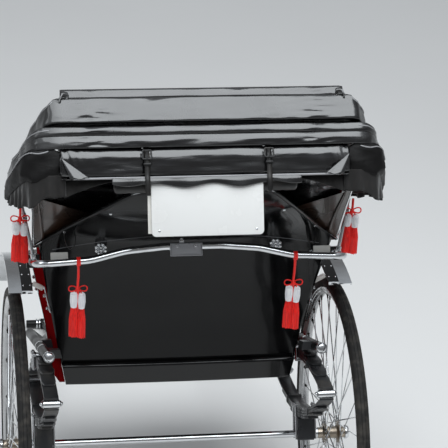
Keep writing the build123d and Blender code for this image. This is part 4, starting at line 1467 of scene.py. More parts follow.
@dataclass(frozen=True)
class RearFittings:
    """What is fixed to the push bar and under the hood at the back."""

    coachwork: Coachwork
    bar_y: float = -520.0
    bar_end_z: float = 1190.0
    bar_half: float = 502.3
    bar_radius: float = 12.0
    plate_x: float = -22.0
    plate_low: float = 1204.5
    sign_rear: float = -876.3
    sign_low: float = 1282.6
    sign_high: float = 1450.6
    sign_width: float = 346.0
    sign_wall: float = 12.0
    standoff: float = 426.0
    rest_y: float = -843.0
    rest_z: float = 1436.3
    rest_half: float = 285.0
    rest_radius: float = 21.0

    def plate(self) -> None:
        """Bare plate with a raised rim, its clamp and two screws."""
        x, z, y = self.plate_x, self.plate_low + 21, self.bar_y - self.bar_radius - 2
        bm = bmesh.new()
        add_box(bm, (x - 52, y - 1.6, z - 21), (x + 52, y + 1.2, z + 21), 1.2)
        flat = piece(bm, "number_plate_bare", PLATE_GREY)
        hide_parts("number_plate")
        rim = [(x + a, y - 1.8, z + b) for a, b in ((-49, 18), (49, 18), (49, -18), (-49, -18))]
        edge, bolts = bmesh.new(), bmesh.new()
        add_wire(edge, rim, 1.2, closed=True)
        piece(edge, "number_plate_rim", PLATE_RIM)
        for side in (-1, 1):
            add_bolt(bolts, (x + side * 30, y - 1.6, z + 10), (0, -1, 0), 4.5, 3)
        add_box(bolts, (x - 22, self.bar_y - 11, z + 18), (x - 6, self.bar_y + 8, z + 31), 2)
        add_bolt(bolts, (x - 14, self.bar_y - 4, z + 30), (0, 0, 1), 5, 4)
        piece(bolts, "number_plate_screws", CHROME)

    def bar_parts(self) -> None:
        """Collars, end caps, stand-offs with their grey plates, and strap loops on the bar."""
        collars, plates, loops = bmesh.new(), bmesh.new(), bmesh.new()
        for side in (-1, 1):
            end_x = side * self.bar_half
            for y in (-345, -352):
                add_rod(collars, (end_x, y - 4, self.bar_end_z), (end_x, y, self.bar_end_z), 15, segments=24)
            x, root = side * self.standoff, self.bar_end_z + 10
            at, _ = self.coachwork.shell_spot(x, root)
            add_rod(collars, (x, at.y - 2, root), (x, self.bar_y + 8, self.bar_end_z + 4), 7, segments=16)
            add_rod(collars, (x, at.y - 6, root), (x, at.y + 2, root), 15, segments=24)
            add_box(plates, (x - 30, self.bar_y + 4, 1199), (x + 26, self.bar_y + 8, 1226), 1.5)
            top, _ = self.coachwork.shell_spot(side * 396, 1292)
            path = smoothed([(side * 408, top.y - 4, top.z), (side * 410, top.y - 30, top.z - 26),
                             (side * 404, self.bar_y - 2, 1246), (side * 392, self.bar_y + 2, 1231),
                             (side * 378, self.bar_y - 2, 1246), (side * 374, top.y - 30, top.z - 18),
                             (side * 380, top.y - 4, top.z + 6)], 3)

            def place(u: float, v: float, line: list[Vector] = evenly(path, 40)) -> Point:
                """Point of the strap, along its line."""
                spot = line[min(39, int(round(v * 39)))]
                return (spot.x, spot.y - 5 + 10 * u, spot.z)

            sheet_piece(surface(2, 39, place), f"bar_strap_{Side(side).label}", BLACK_LEATHER, 2.2, sharp=35)
            add_dome(loops, (side * 408, top.y - 5, top.z - 2), (0, -1, 0), 4, 3)
        piece(collars, "push_bar_collars", CHROME)
        piece(plates, "push_bar_gussets", GREY_BRACKET)
        piece(loops, "bar_strap_studs", CHROME)

    def sign(self) -> None:
        """Bare white board with rounded corners and the plate behind it."""
        bm = bmesh.new()
        middle = (0, self.sign_rear + self.sign_wall / 2, (self.sign_low + self.sign_high) / 2)
        size = (self.sign_width, self.sign_wall, self.sign_high - self.sign_low, 1)
        bmesh.ops.create_cube(bm, size=1.0, matrix=Matrix.Translation(middle) @ Matrix.Diagonal(size))
        bevel(bm, [e for e in bm.edges if run_y(e) > 5], 14, 8)
        bevel(bm, [e for e in bm.edges if run_y(e) < 1], 1.6, 3)
        board = piece(bm, "sign_board_bare", SIGN_ENAMEL, sharp=50)
        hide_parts("sign_board")
        back, screws = bmesh.new(), bmesh.new()
        add_box(back, (-183, self.sign_rear + 12.2, 1292), (165, self.sign_rear + 15.5, 1408), 1.2)
        piece(back, "sign_backing_plate", WHITE_SLEEVE)
        for x in (-150, 150):
            add_dome(screws, (x, self.sign_rear, 1300), (0, -1, 0), 4, 1.8)
        piece(screws, "sign_screws", CHROME)

    def rest(self) -> None:
        """Padded leather tube on the lip that carries the folded hood."""
        def place(u: float, v: float) -> Point:
            """Point of the tube, with its tucks and rounded ends.

            Args:
                u: Share along the first direction, from 0 to 1.
                v: Share along the second direction, from 0 to 1.

            Returns:
                Its place.
            """
            angle = math.tau * v
            x = (2 * u - 1) * self.rest_half
            inset = max(0.0, abs(x) - (self.rest_half - 12)) / 12
            r = self.rest_radius * math.sqrt(max(0.0, 1 - inset ** 2)) + 0.6 * waves(x / 30, angle * 2, 3)
            r = max(0.0, r - 1.5 * math.exp(-((abs(x) % 95 - 47) / 3) ** 2))
            return (x, self.rest_y + r * math.cos(angle), self.rest_z + r * math.sin(angle))
        pad = piece(surface(150, 28, place, closed=True), "hood_rest_padded", BLACK_LEATHER)
        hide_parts("hood_rest")

    def stay_joints(self) -> None:
        """Knuckles and thicker lengths on the hood's stays."""
        bm = bmesh.new()
        for side in (-1, 1):
            low, high = Vector((side * self.bar_half, -400, 1203)), Vector((side * 537, -420, 1372))
            mid = low.lerp(high, 0.76)
            add_rod(bm, mid - Vector((7, 0, 0)), mid + Vector((7, 0, 0)), 11, segments=20)
            add_rod(bm, low, low.lerp(high, 0.08), 10, segments=20)
            add_rod(bm, mid, mid.lerp(high, 0.5), 8, segments=16)
        piece(bm, "hood_stay_knuckles", CHROME)

    def build(self) -> None:
        """Builds the fittings."""
        self.plate()
        self.bar_parts()
        self.sign()
        self.rest()
        self.stay_joints()


@dataclass(frozen=True)
class Fold:
    """One fold: its roll at the rear and its leg at the knee and the pivot."""

    rise: float
    height: float
    depth: float
    corner: float
    knee: float
    knee_rise: float
    knee_height: float
    pivot_rise: float
    pivot_height: float


@dataclass(frozen=True)
class Station:
    """A cross-section of a fold: place, inward direction, depth, middle height, half height, set-back."""

    at: Vector
    inward: Vector
    depth: float
    middle: float
    half: float
    set_back: float

    def spot(self, d: float, h: float, base: float) -> tuple[float, float, float]:
        """Point on the section.

        Args:
            d: Share of the depth.
            h: Share of the half height.
            base: Height that the section is measured from.

        Returns:
            The point.
        """
        into = d * self.set_back if d < 0.45 else max(d * self.depth, 0.46 * self.set_back + 6 * d)
        place = self.at + self.inward * into
        return (place.x, place.y, base + self.middle + h * self.half)


ROLL = Fold(51.4, 96.0, 150.0, 112.0, 169.0, -32.0, 44.0, -64.0, 16.0)
PLEATS = Fold(129.4, 64.0, 178.0, 84.0, 155.0, 17.0, 40.0, -46.0, 16.0)
BAND = Fold(214.0, 73.0, 192.0, 54.0, 115.0, 67.0, 44.0, -27.0, 16.0)
TOP = Fold(262.6, 24.0, 176.0, 34.0, 62.0, 104.0, 18.0, -11.0, 12.0)


@dataclass(frozen=True)
class Hood:
    """The folded hood: a strapped roll, a fan of folds, legs, drapes and a valance."""

    rear: float = -868.0
    base: float = 1457.6
    half: float = 430.0
    knee_run: float = 228.0
    reach: float = 468.0
    pivot_x: float = 532.0
    leg_thick: float = 30.0
    rear_steps: int = 26
    leg_steps: int = 34
    outset: float = 13.0
    strap_x: tuple[float, float] = (-184.0, 192.0)

    def leg_line(self, fold: Fold, outset: float) -> list[Vector]:
        """Plan line of a leg from the roll's end to the pivot.

        Args:
            fold: The fold.
            outset: How far outside the fold's own line it runs.

        Returns:
            Its points, at equal distances.
        """
        knee_y, pivot_y = self.rear + self.knee_run, self.rear + self.reach
        corner = self.half + fold.corner + outset
        line = [(self.half, self.rear, 0), (self.half + (corner - self.half) * 0.45, self.rear, 0),
                (corner, self.rear + 15 - outset * 0.4, 0),
                (corner + (fold.knee - fold.corner) * 0.3, self.rear + 80, 0),
                (self.half + fold.knee + outset, knee_y, 0),
                (self.pivot_x + (self.half + fold.knee - self.pivot_x) * 0.5 + outset, (knee_y + pivot_y) / 2 + 20, 0),
                (self.pivot_x + outset, pivot_y, 0)]
        return evenly(smoothed(line, 3), self.leg_steps + 1)

    def station(self, fold: Fold, number: int, lines: dict[Fold, list[Vector]]) -> Station:
        """The fold's cross-section at a station.

        Args:
            fold: The fold.
            number: The station, counted from the middle of the rear, below zero on the left.
            lines: Plan lines of the folds' legs.

        Returns:
            The cross-section.
        """
        count, sign = abs(number), -1 if number < 0 else 1
        if count <= self.rear_steps:
            x = self.half * count / self.rear_steps
            depth = fold.depth + (self.leg_thick - fold.depth) * ease(x, self.half - 42, self.half)
            return Station(Vector((sign * x, self.rear, 0)), Vector((0, 1, 0)), depth, fold.rise, fold.height / 2,
                           fold.depth)
        line = lines[fold]
        index = count - self.rear_steps
        at = line[index]
        along = (line[min(index + 1, len(line) - 1)] - line[index - 1]).normalized()
        inward = Vector((-along.y, along.x, 0))
        knee, pivot = self.rear + self.knee_run, self.rear + self.reach
        middle = between(at.y, [(self.rear, fold.rise),
                                (self.rear + 60, fold.rise + (fold.knee_rise - fold.rise) * 0.2),
                                (knee, fold.knee_rise), (pivot, fold.pivot_rise)])
        tall = between(at.y, [(self.rear, fold.height), (knee, fold.knee_height), (pivot, fold.pivot_height)])
        set_back = fold.depth + (self.leg_thick - fold.depth) * ease(index, 0, 11)
        return Station(Vector((sign * at.x, at.y, 0)), Vector((sign * inward.x, inward.y, 0)), self.leg_thick,
                       middle, tall / 2, set_back)

    def crumple(self, x: float, z: float, seed: float) -> float:
        """How far the cloth stands out at a place, with a seed for each cloth."""
        return 4.2 * waves(x / 150, z / 34, seed) + 1.6 * waves(x / 55, z / 15, seed + 7)

    def stand_out(self, number: int, z: float, lines: dict[Fold, list[Vector]]) -> float:
        """How far the fan stands out: long rolls at the rear, creases on the legs.

        Args:
            number: The station.
            z: The height.
            lines: Plan lines of the folds' legs.

        Returns:
            The distance.
        """
        along = self.station(BAND, number, lines).at
        run = along.x + math.copysign(1, number) * (along.y - self.rear)
        leg = ease(abs(number), self.rear_steps, self.rear_steps + 6)
        creases = waves(run / 44, z / 120, 14.0) + 0.5 * waves(run / 30, z / 40, 17.0)
        puckers = math.exp(-((abs(run) - 345) / 62) ** 2) * waves(run / 38, z / 11, 21.0)
        return self.crumple(run, z, 1.0) * (1 - 0.5 * leg) + 7.5 * leg * creases + 4.0 * puckers

    def fan(self) -> None:
        """One continuous cloth over the pleats, the band and the top, from pivot to pivot."""
        lines = {fold: self.leg_line(fold, self.outset) for fold in (PLEATS, BAND, TOP)}
        rows = ([(PLEATS, d, h) for d, h in ((0.75, -1.0), (0.4, -1.0), (0.1, -0.99), (0.0, -0.96), (0.0, -0.8),
                                             (0.0, -0.5), (0.002, -0.3), (0.02, -0.1), (0.045, 0.14), (0.07, 0.2),
                                             (0.16, 0.22), (0.15, 0.24), (0.06, 0.26), (0.05, 0.32), (0.05, 0.54),
                                             (0.07, 0.78), (0.1, 1.02), (0.14, 1.08), (0.3, 1.06))]
                + [(BAND, d, h) for d, h in ((0.3, -1.12), (0.2, -1.1), (0.1, -1.04), (0.085, -0.95), (0.1, -0.7),
                                             (0.13, -0.3), (0.165, 0.1), (0.2, 0.5), (0.24, 0.9), (0.27, 1.0))]
                + [(TOP, d, h) for d, h in ((0.31, -1.0), (0.29, -0.95), (0.285, -0.8), (0.3, -0.3), (0.325, 0.4),
                                            (0.35, 1.0), (0.4, 1.2), (0.6, 1.2), (0.8, 1.0), (0.95, 0.8), (0.98, 0.2),
                                            (0.96, -0.6), (0.85, -0.95))]
                + [(BAND, d, h) for d, h in ((0.85, 0.98), (0.98, 0.8), (1.0, 0.2), (1.0, -0.4), (0.97, -0.85),
                                             (0.8, -1.1))]
                + [(PLEATS, d, h) for d, h in ((0.8, 0.98), (0.97, 0.75), (0.97, 0.3), (0.8, 0.03), (0.8, -0.03),
                                               (0.97, -0.3), (0.95, -0.75), (0.8, -0.96))])
        cache: dict[int, list[Vector]] = {}
        total = self.rear_steps + self.leg_steps

        def section(number: int) -> list[Vector]:
            """Points of the cloth at a station, outside first.

            Args:
                number: The station.

            Returns:
                The points.
            """
            if number not in cache:
                spots = [self.station(fold, number, lines).spot(d, h, self.base) for fold, d, h in rows]
                inward = self.station(BAND, number, lines).inward
                cache[number] = [p - inward * self.stand_out(number, p.z, lines) for p in smoothed(spots, 2)]
            return cache[number]

        count = len(section(0)) - 1

        def place(u: float, v: float) -> Point:
            """Point of the cloth, from the left pivot to the right one."""
            return section(int(round(u * 2 * total)) - total)[int(round(v * count))]

        cloth = sheet_piece(surface(2 * total, count, place), "hood_fan_cloth", FOLDED_CLOTH, 1.6, 1.0)
        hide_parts("hood_pleats", "hood_band", "hood_top", "hood_side_left", "hood_side_right")

    def roll(self) -> None:
        """The rolled rear curtain: a spiral of cloth, pulled in under its two straps."""
        turns, step, mid_y, mid_z = 2.5, 7.0, self.rear + 66, self.base + 52.4
        section = [(-0.9, -1.0), (-1.0, -0.94), (-1.0, -0.5), (-1.0, 0.2), (-0.995, 0.46), (-0.9, 0.72), (-0.79, 1.0),
                   (-0.6, 1.04), (0.5, 1.04), (0.94, 0.9), (1.0, 0.6), (1.0, -0.6), (0.9, -0.95), (0.5, -1.0),
                   (-0.5, -1.0), (-0.9, -1.0)]
        outline = evenly(smoothed([(0, y, z) for y, z in section], 2), 241)

        def place(u: float, v: float) -> Point:
            """Point of the spiral, from its inner edge to its outer one.

            Args:
                u: Share along the first direction, from 0 to 1.
                v: Share along the second direction, from 0 to 1.

            Returns:
                Its place.
            """
            turn = (0.5 + v * turns) % 1.0 * 240
            spot = outline[int(turn)].lerp(outline[min(240, int(turn) + 1)], turn - int(turn))
            if v > 0.9999:
                spot = outline[240]
            x = (2 * u - 1) * (self.half + 14)
            inset = (1 - v) * turns * step + 2.0
            for strap in self.strap_x:
                inset += 5.0 * v * math.exp(-((x - strap) / 16) ** 2)
            y, z = spot.y * (78 - inset), spot.z * (50 - inset)
            gather = ease(abs(x), 340, 425) * (0.2 + 0.8 * v)
            puff = self.crumple(x, z * 1.4 + y * 0.4, 4.0) * (0.35 + 0.65 * v) * 0.6
            puff += gather * 7.0 * waves((x + 0.35 * z) / 17, (y + z) / 60, 11.0)
            length = Vector((y, z)).length or 1.0
            slip = 7 * waves(v * 6, 2.0, math.copysign(3, u - 0.5)) * ease(abs(u - 0.5), 0.45, 0.5)
            return (x + slip, mid_y + y * (1 + puff / length), mid_z + z * (1 + puff / length))

        cloth = sheet_piece(surface(210, 150, place), "hood_roll_cloth", HOOD_CLOTH, 1.5)
        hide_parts("hood_roll")
        # The pale grey of the roll's piping is a painted highlight of the light caught on the welt at the roll's foot.
        line_piece([(x, self.rear - 10 + 2 * math.sin(x / 70), self.base + 6) for x in range(-408, 409, 34)], 3.4,
                   "roll_piping", PIPING)
        for side in Side:
            def fold(u: float, v: float, sign: int = side.value) -> Point:
                """Point of the corner that is folded over.

                Args:
                    u: Share along the first direction, from 0 to 1.
                    v: Share along the second direction, from 0 to 1.
                    sign: 1 on the right and -1 on the left.

                Returns:
                    Its place.
                """
                x = 443 - 23 * v - (58 * u) * v
                bulge = 5 * math.sin(math.pi * min(1.0, u * 1.4)) * v
                return (sign * x, self.rear - 8 - 24 * v ** 0.8 - bulge, 1526 - 62 * v + 2 * math.sin(u * 9) * v)
            flap = sheet_piece(surface(24, 24, fold), f"roll_corner_fold_{side.label}", HOOD_CLOTH, 1.5)

    def leg_crease(self, u: float, h: float) -> float:
        """How far a lowest leg's cloth is pushed in at a share of its length and a height on it."""
        crease = waves(u * 11 + h / 38, h / 90, 9.0) + waves(u * 17 - h / 30, h / 60, 3.0)
        return (3.0 + 5.0 * (1 - ease(u, 0.3, 0.8))) * min(0.3, crease)

    def low_legs(self) -> None:
        """The padded lowest legs."""
        lines = {ROLL: self.leg_line(ROLL, self.outset)}
        for side in Side:
            def place(u: float, v: float, sign: int = side.value) -> Point:
                """Point of the padded leg, round its section.

                Args:
                    u: Share along the first direction, from 0 to 1.
                    v: Share along the second direction, from 0 to 1.
                    sign: 1 on the right and -1 on the left.

                Returns:
                    Its place.
                """
                number = self.rear_steps + int(round(u * self.leg_steps))
                cut = self.station(ROLL, max(self.rear_steps + 1, number), lines)
                angle = math.tau * v
                d = cut.depth * (0.5 - 0.5 * squared(math.cos(angle), 0.6))
                h = cut.half * squared(math.sin(angle), 0.6)
                end = 0.25 + 0.75 * ease(u, 0.0, 0.05) * (1 - ease(u, 0.97, 1.0))
                puff = self.leg_crease(u, h)
                spot = cut.at + cut.inward * (cut.depth / 2 + (d - cut.depth / 2) * end + puff)
                return (sign * spot.x, spot.y, self.base + cut.middle + h * end + puff)
            leg = piece(surface(self.leg_steps, 36, place, closed=True), f"hood_low_leg_{side.label}", DULL_CLOTH)

    def leg_pipings(self) -> None:
        """Piping on the cloth along every leg, each at a share of its depth. The piping is real, and its pale grey is
        a painted highlight.
        """
        high = 0.78
        for fold, name, share in ((ROLL, "low", 0.08), (PLEATS, "pleat", 0.07), (BAND, "band", 0.228),
                                  (TOP, "top", 0.341)):
            own = {shape: self.leg_line(shape, self.outset) for shape in (fold, BAND)}
            for side in Side:
                spots = []
                for number in range(self.rear_steps + 3, self.rear_steps + self.leg_steps + 1):
                    cut = self.station(fold, number, own)
                    z = self.base + cut.middle + cut.half * high
                    if fold is ROLL:
                        puff = self.leg_crease((number - self.rear_steps) / self.leg_steps, cut.half * high)
                        out, z = cut.at + cut.inward * (share * cut.depth + puff - 1.4), z + puff
                    else:
                        out = cut.at + cut.inward * (share * cut.set_back - 1.4)
                        out -= self.station(BAND, number, own).inward * self.stand_out(side.value * number, z, own)
                    spots.append((side.value * out.x, out.y, z))
                line_piece(spots, 2.0, f"leg_piping_{name}_{side.label}", PIPING)

    def drapes(self) -> None:
        """Lining that hangs in soft folds under the lowest legs."""
        line = self.leg_line(ROLL, 0.0)
        knee, pivot = self.rear + self.knee_run, self.rear + self.reach
        for side in Side:
            def place(u: float, v: float, sign: int = side.value) -> Point:
                """Point of the lining, from the leg down to its hem.

                Args:
                    u: Share along the first direction, from 0 to 1.
                    v: Share along the second direction, from 0 to 1.
                    sign: 1 on the right and -1 on the left.

                Returns:
                    Its place.
                """
                spot = self.rear_steps + u * self.leg_steps
                low = int(min(self.leg_steps - 1, spot - self.rear_steps))
                at = line[low].lerp(line[low + 1], spot - self.rear_steps - low)
                along = (line[low + 1] - line[low]).normalized()
                out = Vector((along.y, -along.x, 0))
                top = between(at.y, [(self.rear, 0.4), (knee, -54.0), (pivot, -72.0)])
                drop = between(at.y, [(self.rear, 46.0), (self.rear + 12, 74.0), (self.rear + 110, 54.0),
                                      (knee, 16.0), (pivot, 10.0)])
                wave = 5.5 * math.sin(u * 78 + 1.5 * math.sin(u * 17)) * v
                at = at + out * wave
                hem = 4 * math.sin(u * 39) * v
                return (sign * at.x, at.y + 12 * (1 - ease(u, 0, 0.1)), self.base + top + 18 - (drop + 18 + hem) * v)
            cloth = sheet_piece(surface(150, 12, place), f"hood_drape_{side.label}_cloth", HOOD_LINING, 1.4)
            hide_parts(f"hood_drape_{side.label}")

    def under_lining(self) -> None:
        """Lining that sags under the roll between its rest and the legs."""
        for side in Side:
            def place(u: float, v: float, sign: int = side.value) -> Point:
                """Point of the lining beside the rest.

                Args:
                    u: Share along the first direction, from 0 to 1.
                    v: Share along the second direction, from 0 to 1.
                    sign: 1 on the right and -1 on the left.

                Returns:
                    Its place.
                """
                x = 286 + 150 * u
                drop = 8 + 46 * u ** 1.4
                wave = 4 * math.sin(u * 19) * v
                return (sign * x, self.rear + 26 + wave - 10 * v, self.base + 2 - drop * v)
            cloth = sheet_piece(surface(40, 10, place), f"roll_lining_{side.label}", HOOD_LINING, 1.4)

    def curtain(self) -> None:
        """Curtain from the roll down to the back of the body. Its black cloth also fills the hollow under the roll, as
        a dark sheet that stands for the shade there.
        """
        line = evenly(smoothed([(0, -441, 1329), (0, -553, 1408), (0, -640, 1440), (0, -706, 1474),
                                (0, -717, 1502)], 2), 41)

        def fall(u: float, v: float) -> Point:
            """Point of the curtain, from the body up.

            Args:
                u: Share along the first direction, from 0 to 1.
                v: Share along the second direction, from 0 to 1.

            Returns:
                Its place.
            """
            spot = line[int(round(v * 40))]
            x = (2 * u - 1) * (468 + 20 * ease(v, 0.0, 0.35))
            wave = (3.0 * math.sin(x / 33) + 2.5 * math.sin(x / 71)) * math.sin(math.pi * v)
            return (x, spot.y + wave, spot.z + 0.6 * wave)

        # A dark sheet where the hollow under the roll lies in shade: it hides the pale floor behind that hollow.
        curtain = sheet_piece(surface(180, 40, fall), "hood_curtain_cloth", HOOD_CLOTH, 1.5)
        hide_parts("hood_curtain")

    def valance(self) -> None:
        """Scalloped strip of cloth that hangs from the roll before the sign's top."""
        def place(u: float, v: float) -> Point:
            """Point of the strip, down to its scallops.

            Args:
                u: Share along the first direction, from 0 to 1.
                v: Share along the second direction, from 0 to 1.

            Returns:
                Its place.
            """
            x = (2 * u - 1) * 292
            low = 1431 + 12 * math.cos(math.pi * (x - 15) / 172) ** 2 + 6 * ease(abs(x), 180, 200)
            wave = 2.0 * math.sin(x / 21) * v
            return (x, self.rear - 13 - 3 * ease(v, 0, 0.5) + wave, 1463 - (1463 - low) * v)

        cloth = sheet_piece(surface(160, 8, place), "hood_valance", HOOD_CLOTH, 1.3)

    def straps(self) -> None:
        """Leather straps round the roll with wire buckles."""
        buckles = bmesh.new()
        for side, x in zip(Side, self.strap_x):
            path = smoothed([(0, self.rear + 60, 1559), (0, self.rear + 24, 1558), (0, self.rear - 11, 1531),
                             (0, self.rear - 13, 1500), (0, self.rear - 15, 1470), (0, self.rear - 20, 1456),
                             (0, self.rear - 19, 1430), (0, self.rear - 18, 1412)], 3)

            def place(u: float, v: float, line: list[Vector] = evenly(path, 50), mid: float = x) -> Point:
                """Point of the strap, along its line.

                Args:
                    u: Share along the first direction, from 0 to 1.
                    v: Share along the second direction, from 0 to 1.
                    line: Points of the strap's middle.
                    mid: X of its middle.

                Returns:
                    Its place.
                """
                spot = line[min(49, int(round(v * 49)))]
                taper = 1 - 0.5 * ease(v, 0.94, 1.0)
                return (mid + (u - 0.5) * 16 * taper, spot.y, spot.z)

            strap = sheet_piece(surface(2, 49, place), f"hood_strap_{side.label}", BLACK_LEATHER, 3.0, sharp=35)
            if side is Side.LEFT:
                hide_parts("hood_straps")
            y = self.rear - 17
            frame = [(x - 13, y + 10, 1546), (x + 13, y + 10, 1546), (x + 13, y, 1520), (x - 13, y, 1520)]
            add_wire(buckles, frame, 2.6, 10, closed=True)
            add_rod(buckles, (x, y + 7, 1546), (x, y - 2, 1520), 2.0, segments=8)
            add_box(buckles, (x - 11.5, y - 3, 1500), (x + 11.5, y + 6, 1508), 2.0)
        piece(buckles, "hood_strap_buckles", BLACK_ENAMEL)

    def pivots(self) -> None:
        """Plates and bolts where the legs meet, and the tips of the bows."""
        bm, hooks = bmesh.new(), bmesh.new()
        for side in (-1, 1):
            x, y = side * self.pivot_x, self.rear + self.reach
            add_box(bm, (x - 17, y - 14, self.base - 74), (x + 17, y + 5, self.base - 2), 4)
            add_rod(bm, (x - 20, y - 6, self.base - 50), (x + 20, y - 6, self.base - 50), 9, segments=20)
            add_bolt(bm, (x + side * 17, y - 6, self.base - 50), (side, 0, 0), 8)
            add_bolt(bm, (x + side * 17, y - 6, self.base - 18), (side, 0, 0), 6)
            add_wire(hooks, [(side * 498, -638, 1562), (side * 536, -632, 1570), (side * 537, -632, 1582)], 3, 10)
        piece(bm, "hood_pivot_plates", BLACK_ENAMEL)
        piece(hooks, "hood_bow_tips", GREY_BRACKET)

    def build(self) -> None:
        """Builds the hood."""
        self.roll()
        self.fan()
        self.low_legs()
        self.leg_pipings()
        self.drapes()
        self.under_lining()
        self.curtain()
        self.valance()
        self.straps()
        self.pivots()


@dataclass(frozen=True)
class Pads:
    """Seat cushion, back cushion and armrest pads."""

    tufts: tuple[int, int] = (5, 2)
    seat_z: float = 1047.8
    back_low: float = 1102.0
    back_high: float = 1319.0
    arm_board_z: float = 1172.0
    arm_z: float = 1187.5

    def cushion(self, name: str, node: str, place: Callable[[float, float, float], Point]) -> None:
        """A crowned closed cushion with buttons and piping.

        Args:
            name: The piece's name.
            node: The CAD node it stands for.
            place: Level point from shares across, along and through the cushion, the last -1 to 1.
        """
        across, along = self.tufts
        middles = [((i + 0.5) / across, (j + 0.5) / along) for i in range(across) for j in range(along)]

        def crown(u: float, v: float) -> float:
            """Height of the top as a share: crowned, with a dent at each button.

            Args:
                u: Share along the first direction, from 0 to 1.
                v: Share along the second direction, from 0 to 1.

            Returns:
                The share.
            """
            edge = (1 - abs(2 * u - 1) ** 4) * (1 - abs(2 * v - 1) ** 4)
            gaps = [math.hypot((u - a) * across, (v - b) * along) for a, b in middles]
            dent = max(math.exp(-(gap / 0.17) ** 2) for gap in gaps)
            return 0.45 + 0.55 * edge ** 0.5 - 0.28 * dent

        def wrap(u: float, v: float) -> Point:
            """Point of the closed skin, over the top and back under.

            Args:
                u: Share along the first direction, from 0 to 1.
                v: Share along the second direction, from 0 to 1.

            Returns:
                Its place.
            """
            top = v < 0.5
            w = (v if top else 1 - v) * 2
            height = crown(u, w) * (1 if top else -1)
            edge = min(ease(w, 0.0, 0.04), ease(1 - w, 0.0, 0.04), ease(u, 0.0, 0.03), ease(1 - u, 0.0, 0.03))
            return place(u, w, height * (0.35 + 0.65 * edge))

        bm = surface(84, 2 * 60, wrap, closed=True)
        bmesh.ops.holes_fill(bm, edges=[edge for edge in bm.edges if edge.is_boundary])
        pad = piece(bm, name, SEAT_CLOTH, sharp=60)
        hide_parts(node)
        buttons = bmesh.new()
        for u, v in middles:
            at = Vector(place(u, v, crown(u, v)))
            up = (Vector(place(u, v, 1.0)) - Vector(place(u, v, 0.0))).normalized()
            add_dome(buttons, at - up * 1.0, up, 9, 4)
        piece(buttons, name + "_buttons", SEAT_CLOTH)
        rim = [Vector(place(u, v, 0.42)) for u, v in
               [(k / 12, 0.0) for k in range(13)] + [(1.0, k / 8) for k in range(1, 9)]
               + [(1 - k / 12, 1.0) for k in range(1, 13)] + [(0.0, 1 - k / 8) for k in range(1, 9)]]
        line_piece(rim, 4.0, name + "_piping", BLACK_LEATHER)

    def build(self, coachwork: Coachwork) -> None:
        """Builds the pads.

        Args:
            coachwork: The body that they fit into.
        """
        def seat(u: float, v: float, t: float) -> Point:
            """Point of the seat cushion.

            Args:
                u: Share along the first direction, from 0 to 1.
                v: Share along the second direction, from 0 to 1.
                t: Share of the thickness, from 0 to 1.

            Returns:
                Its place.
            """
            z = self.seat_z + 47 * t
            half = coachwork.half_width(z) - 25
            rear, front = coachwork.edge_and_bow(z)[0] + 118, 258
            return ((2 * u - 1) * half, rear + (front - rear) * v, z)

        def back(u: float, v: float, t: float) -> Point:
            """Point of the back cushion.

            Args:
                u: Share along the first direction, from 0 to 1.
                v: Share along the second direction, from 0 to 1.
                t: Share of the thickness, from 0 to 1.

            Returns:
                Its place.
            """
            z = self.back_low + (self.back_high - self.back_low) * v
            half = coachwork.half_width(z) - 25
            near = coachwork.edge_and_bow(z)[0] + 34
            return ((2 * u - 1) * half, near + 40 + 40 * t, z)

        self.cushion("seat_cushion_cloth", "seat_cushion", seat)
        self.cushion("back_cushion_cloth", "back_cushion", back)
        for side in Side:
            x = side.value * (coachwork.half_width(self.arm_board_z) - 9)

            def place(u: float, v: float, mid: float = x) -> Point:
                """Point of an armrest pad, round its section.

                Args:
                    u: Share along the first direction, from 0 to 1.
                    v: Share along the second direction, from 0 to 1.
                    mid: X of its middle.

                Returns:
                    Its place.
                """
                angle = math.tau * v
                end = math.sqrt(max(0.0, 1 - (max(0.0, abs(2 * u - 1) - 0.9) / 0.1) ** 2))
                cos, sin = math.cos(angle), math.sin(angle)
                across = 23 * squared(cos, 0.55) * (0.3 + 0.7 * end)
                up = 14 * squared(sin, 0.7) * (0.2 + 0.8 * end)
                return (mid + across, -70 + 290 * u, self.arm_z + up + (2.0 * end if up > 0 else 0))
            pad = piece(surface(60, 28, place, closed=True), f"armrest_pad_{side.label}", BLACK_LEATHER)
            if side is Side.LEFT:
                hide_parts("armrests")


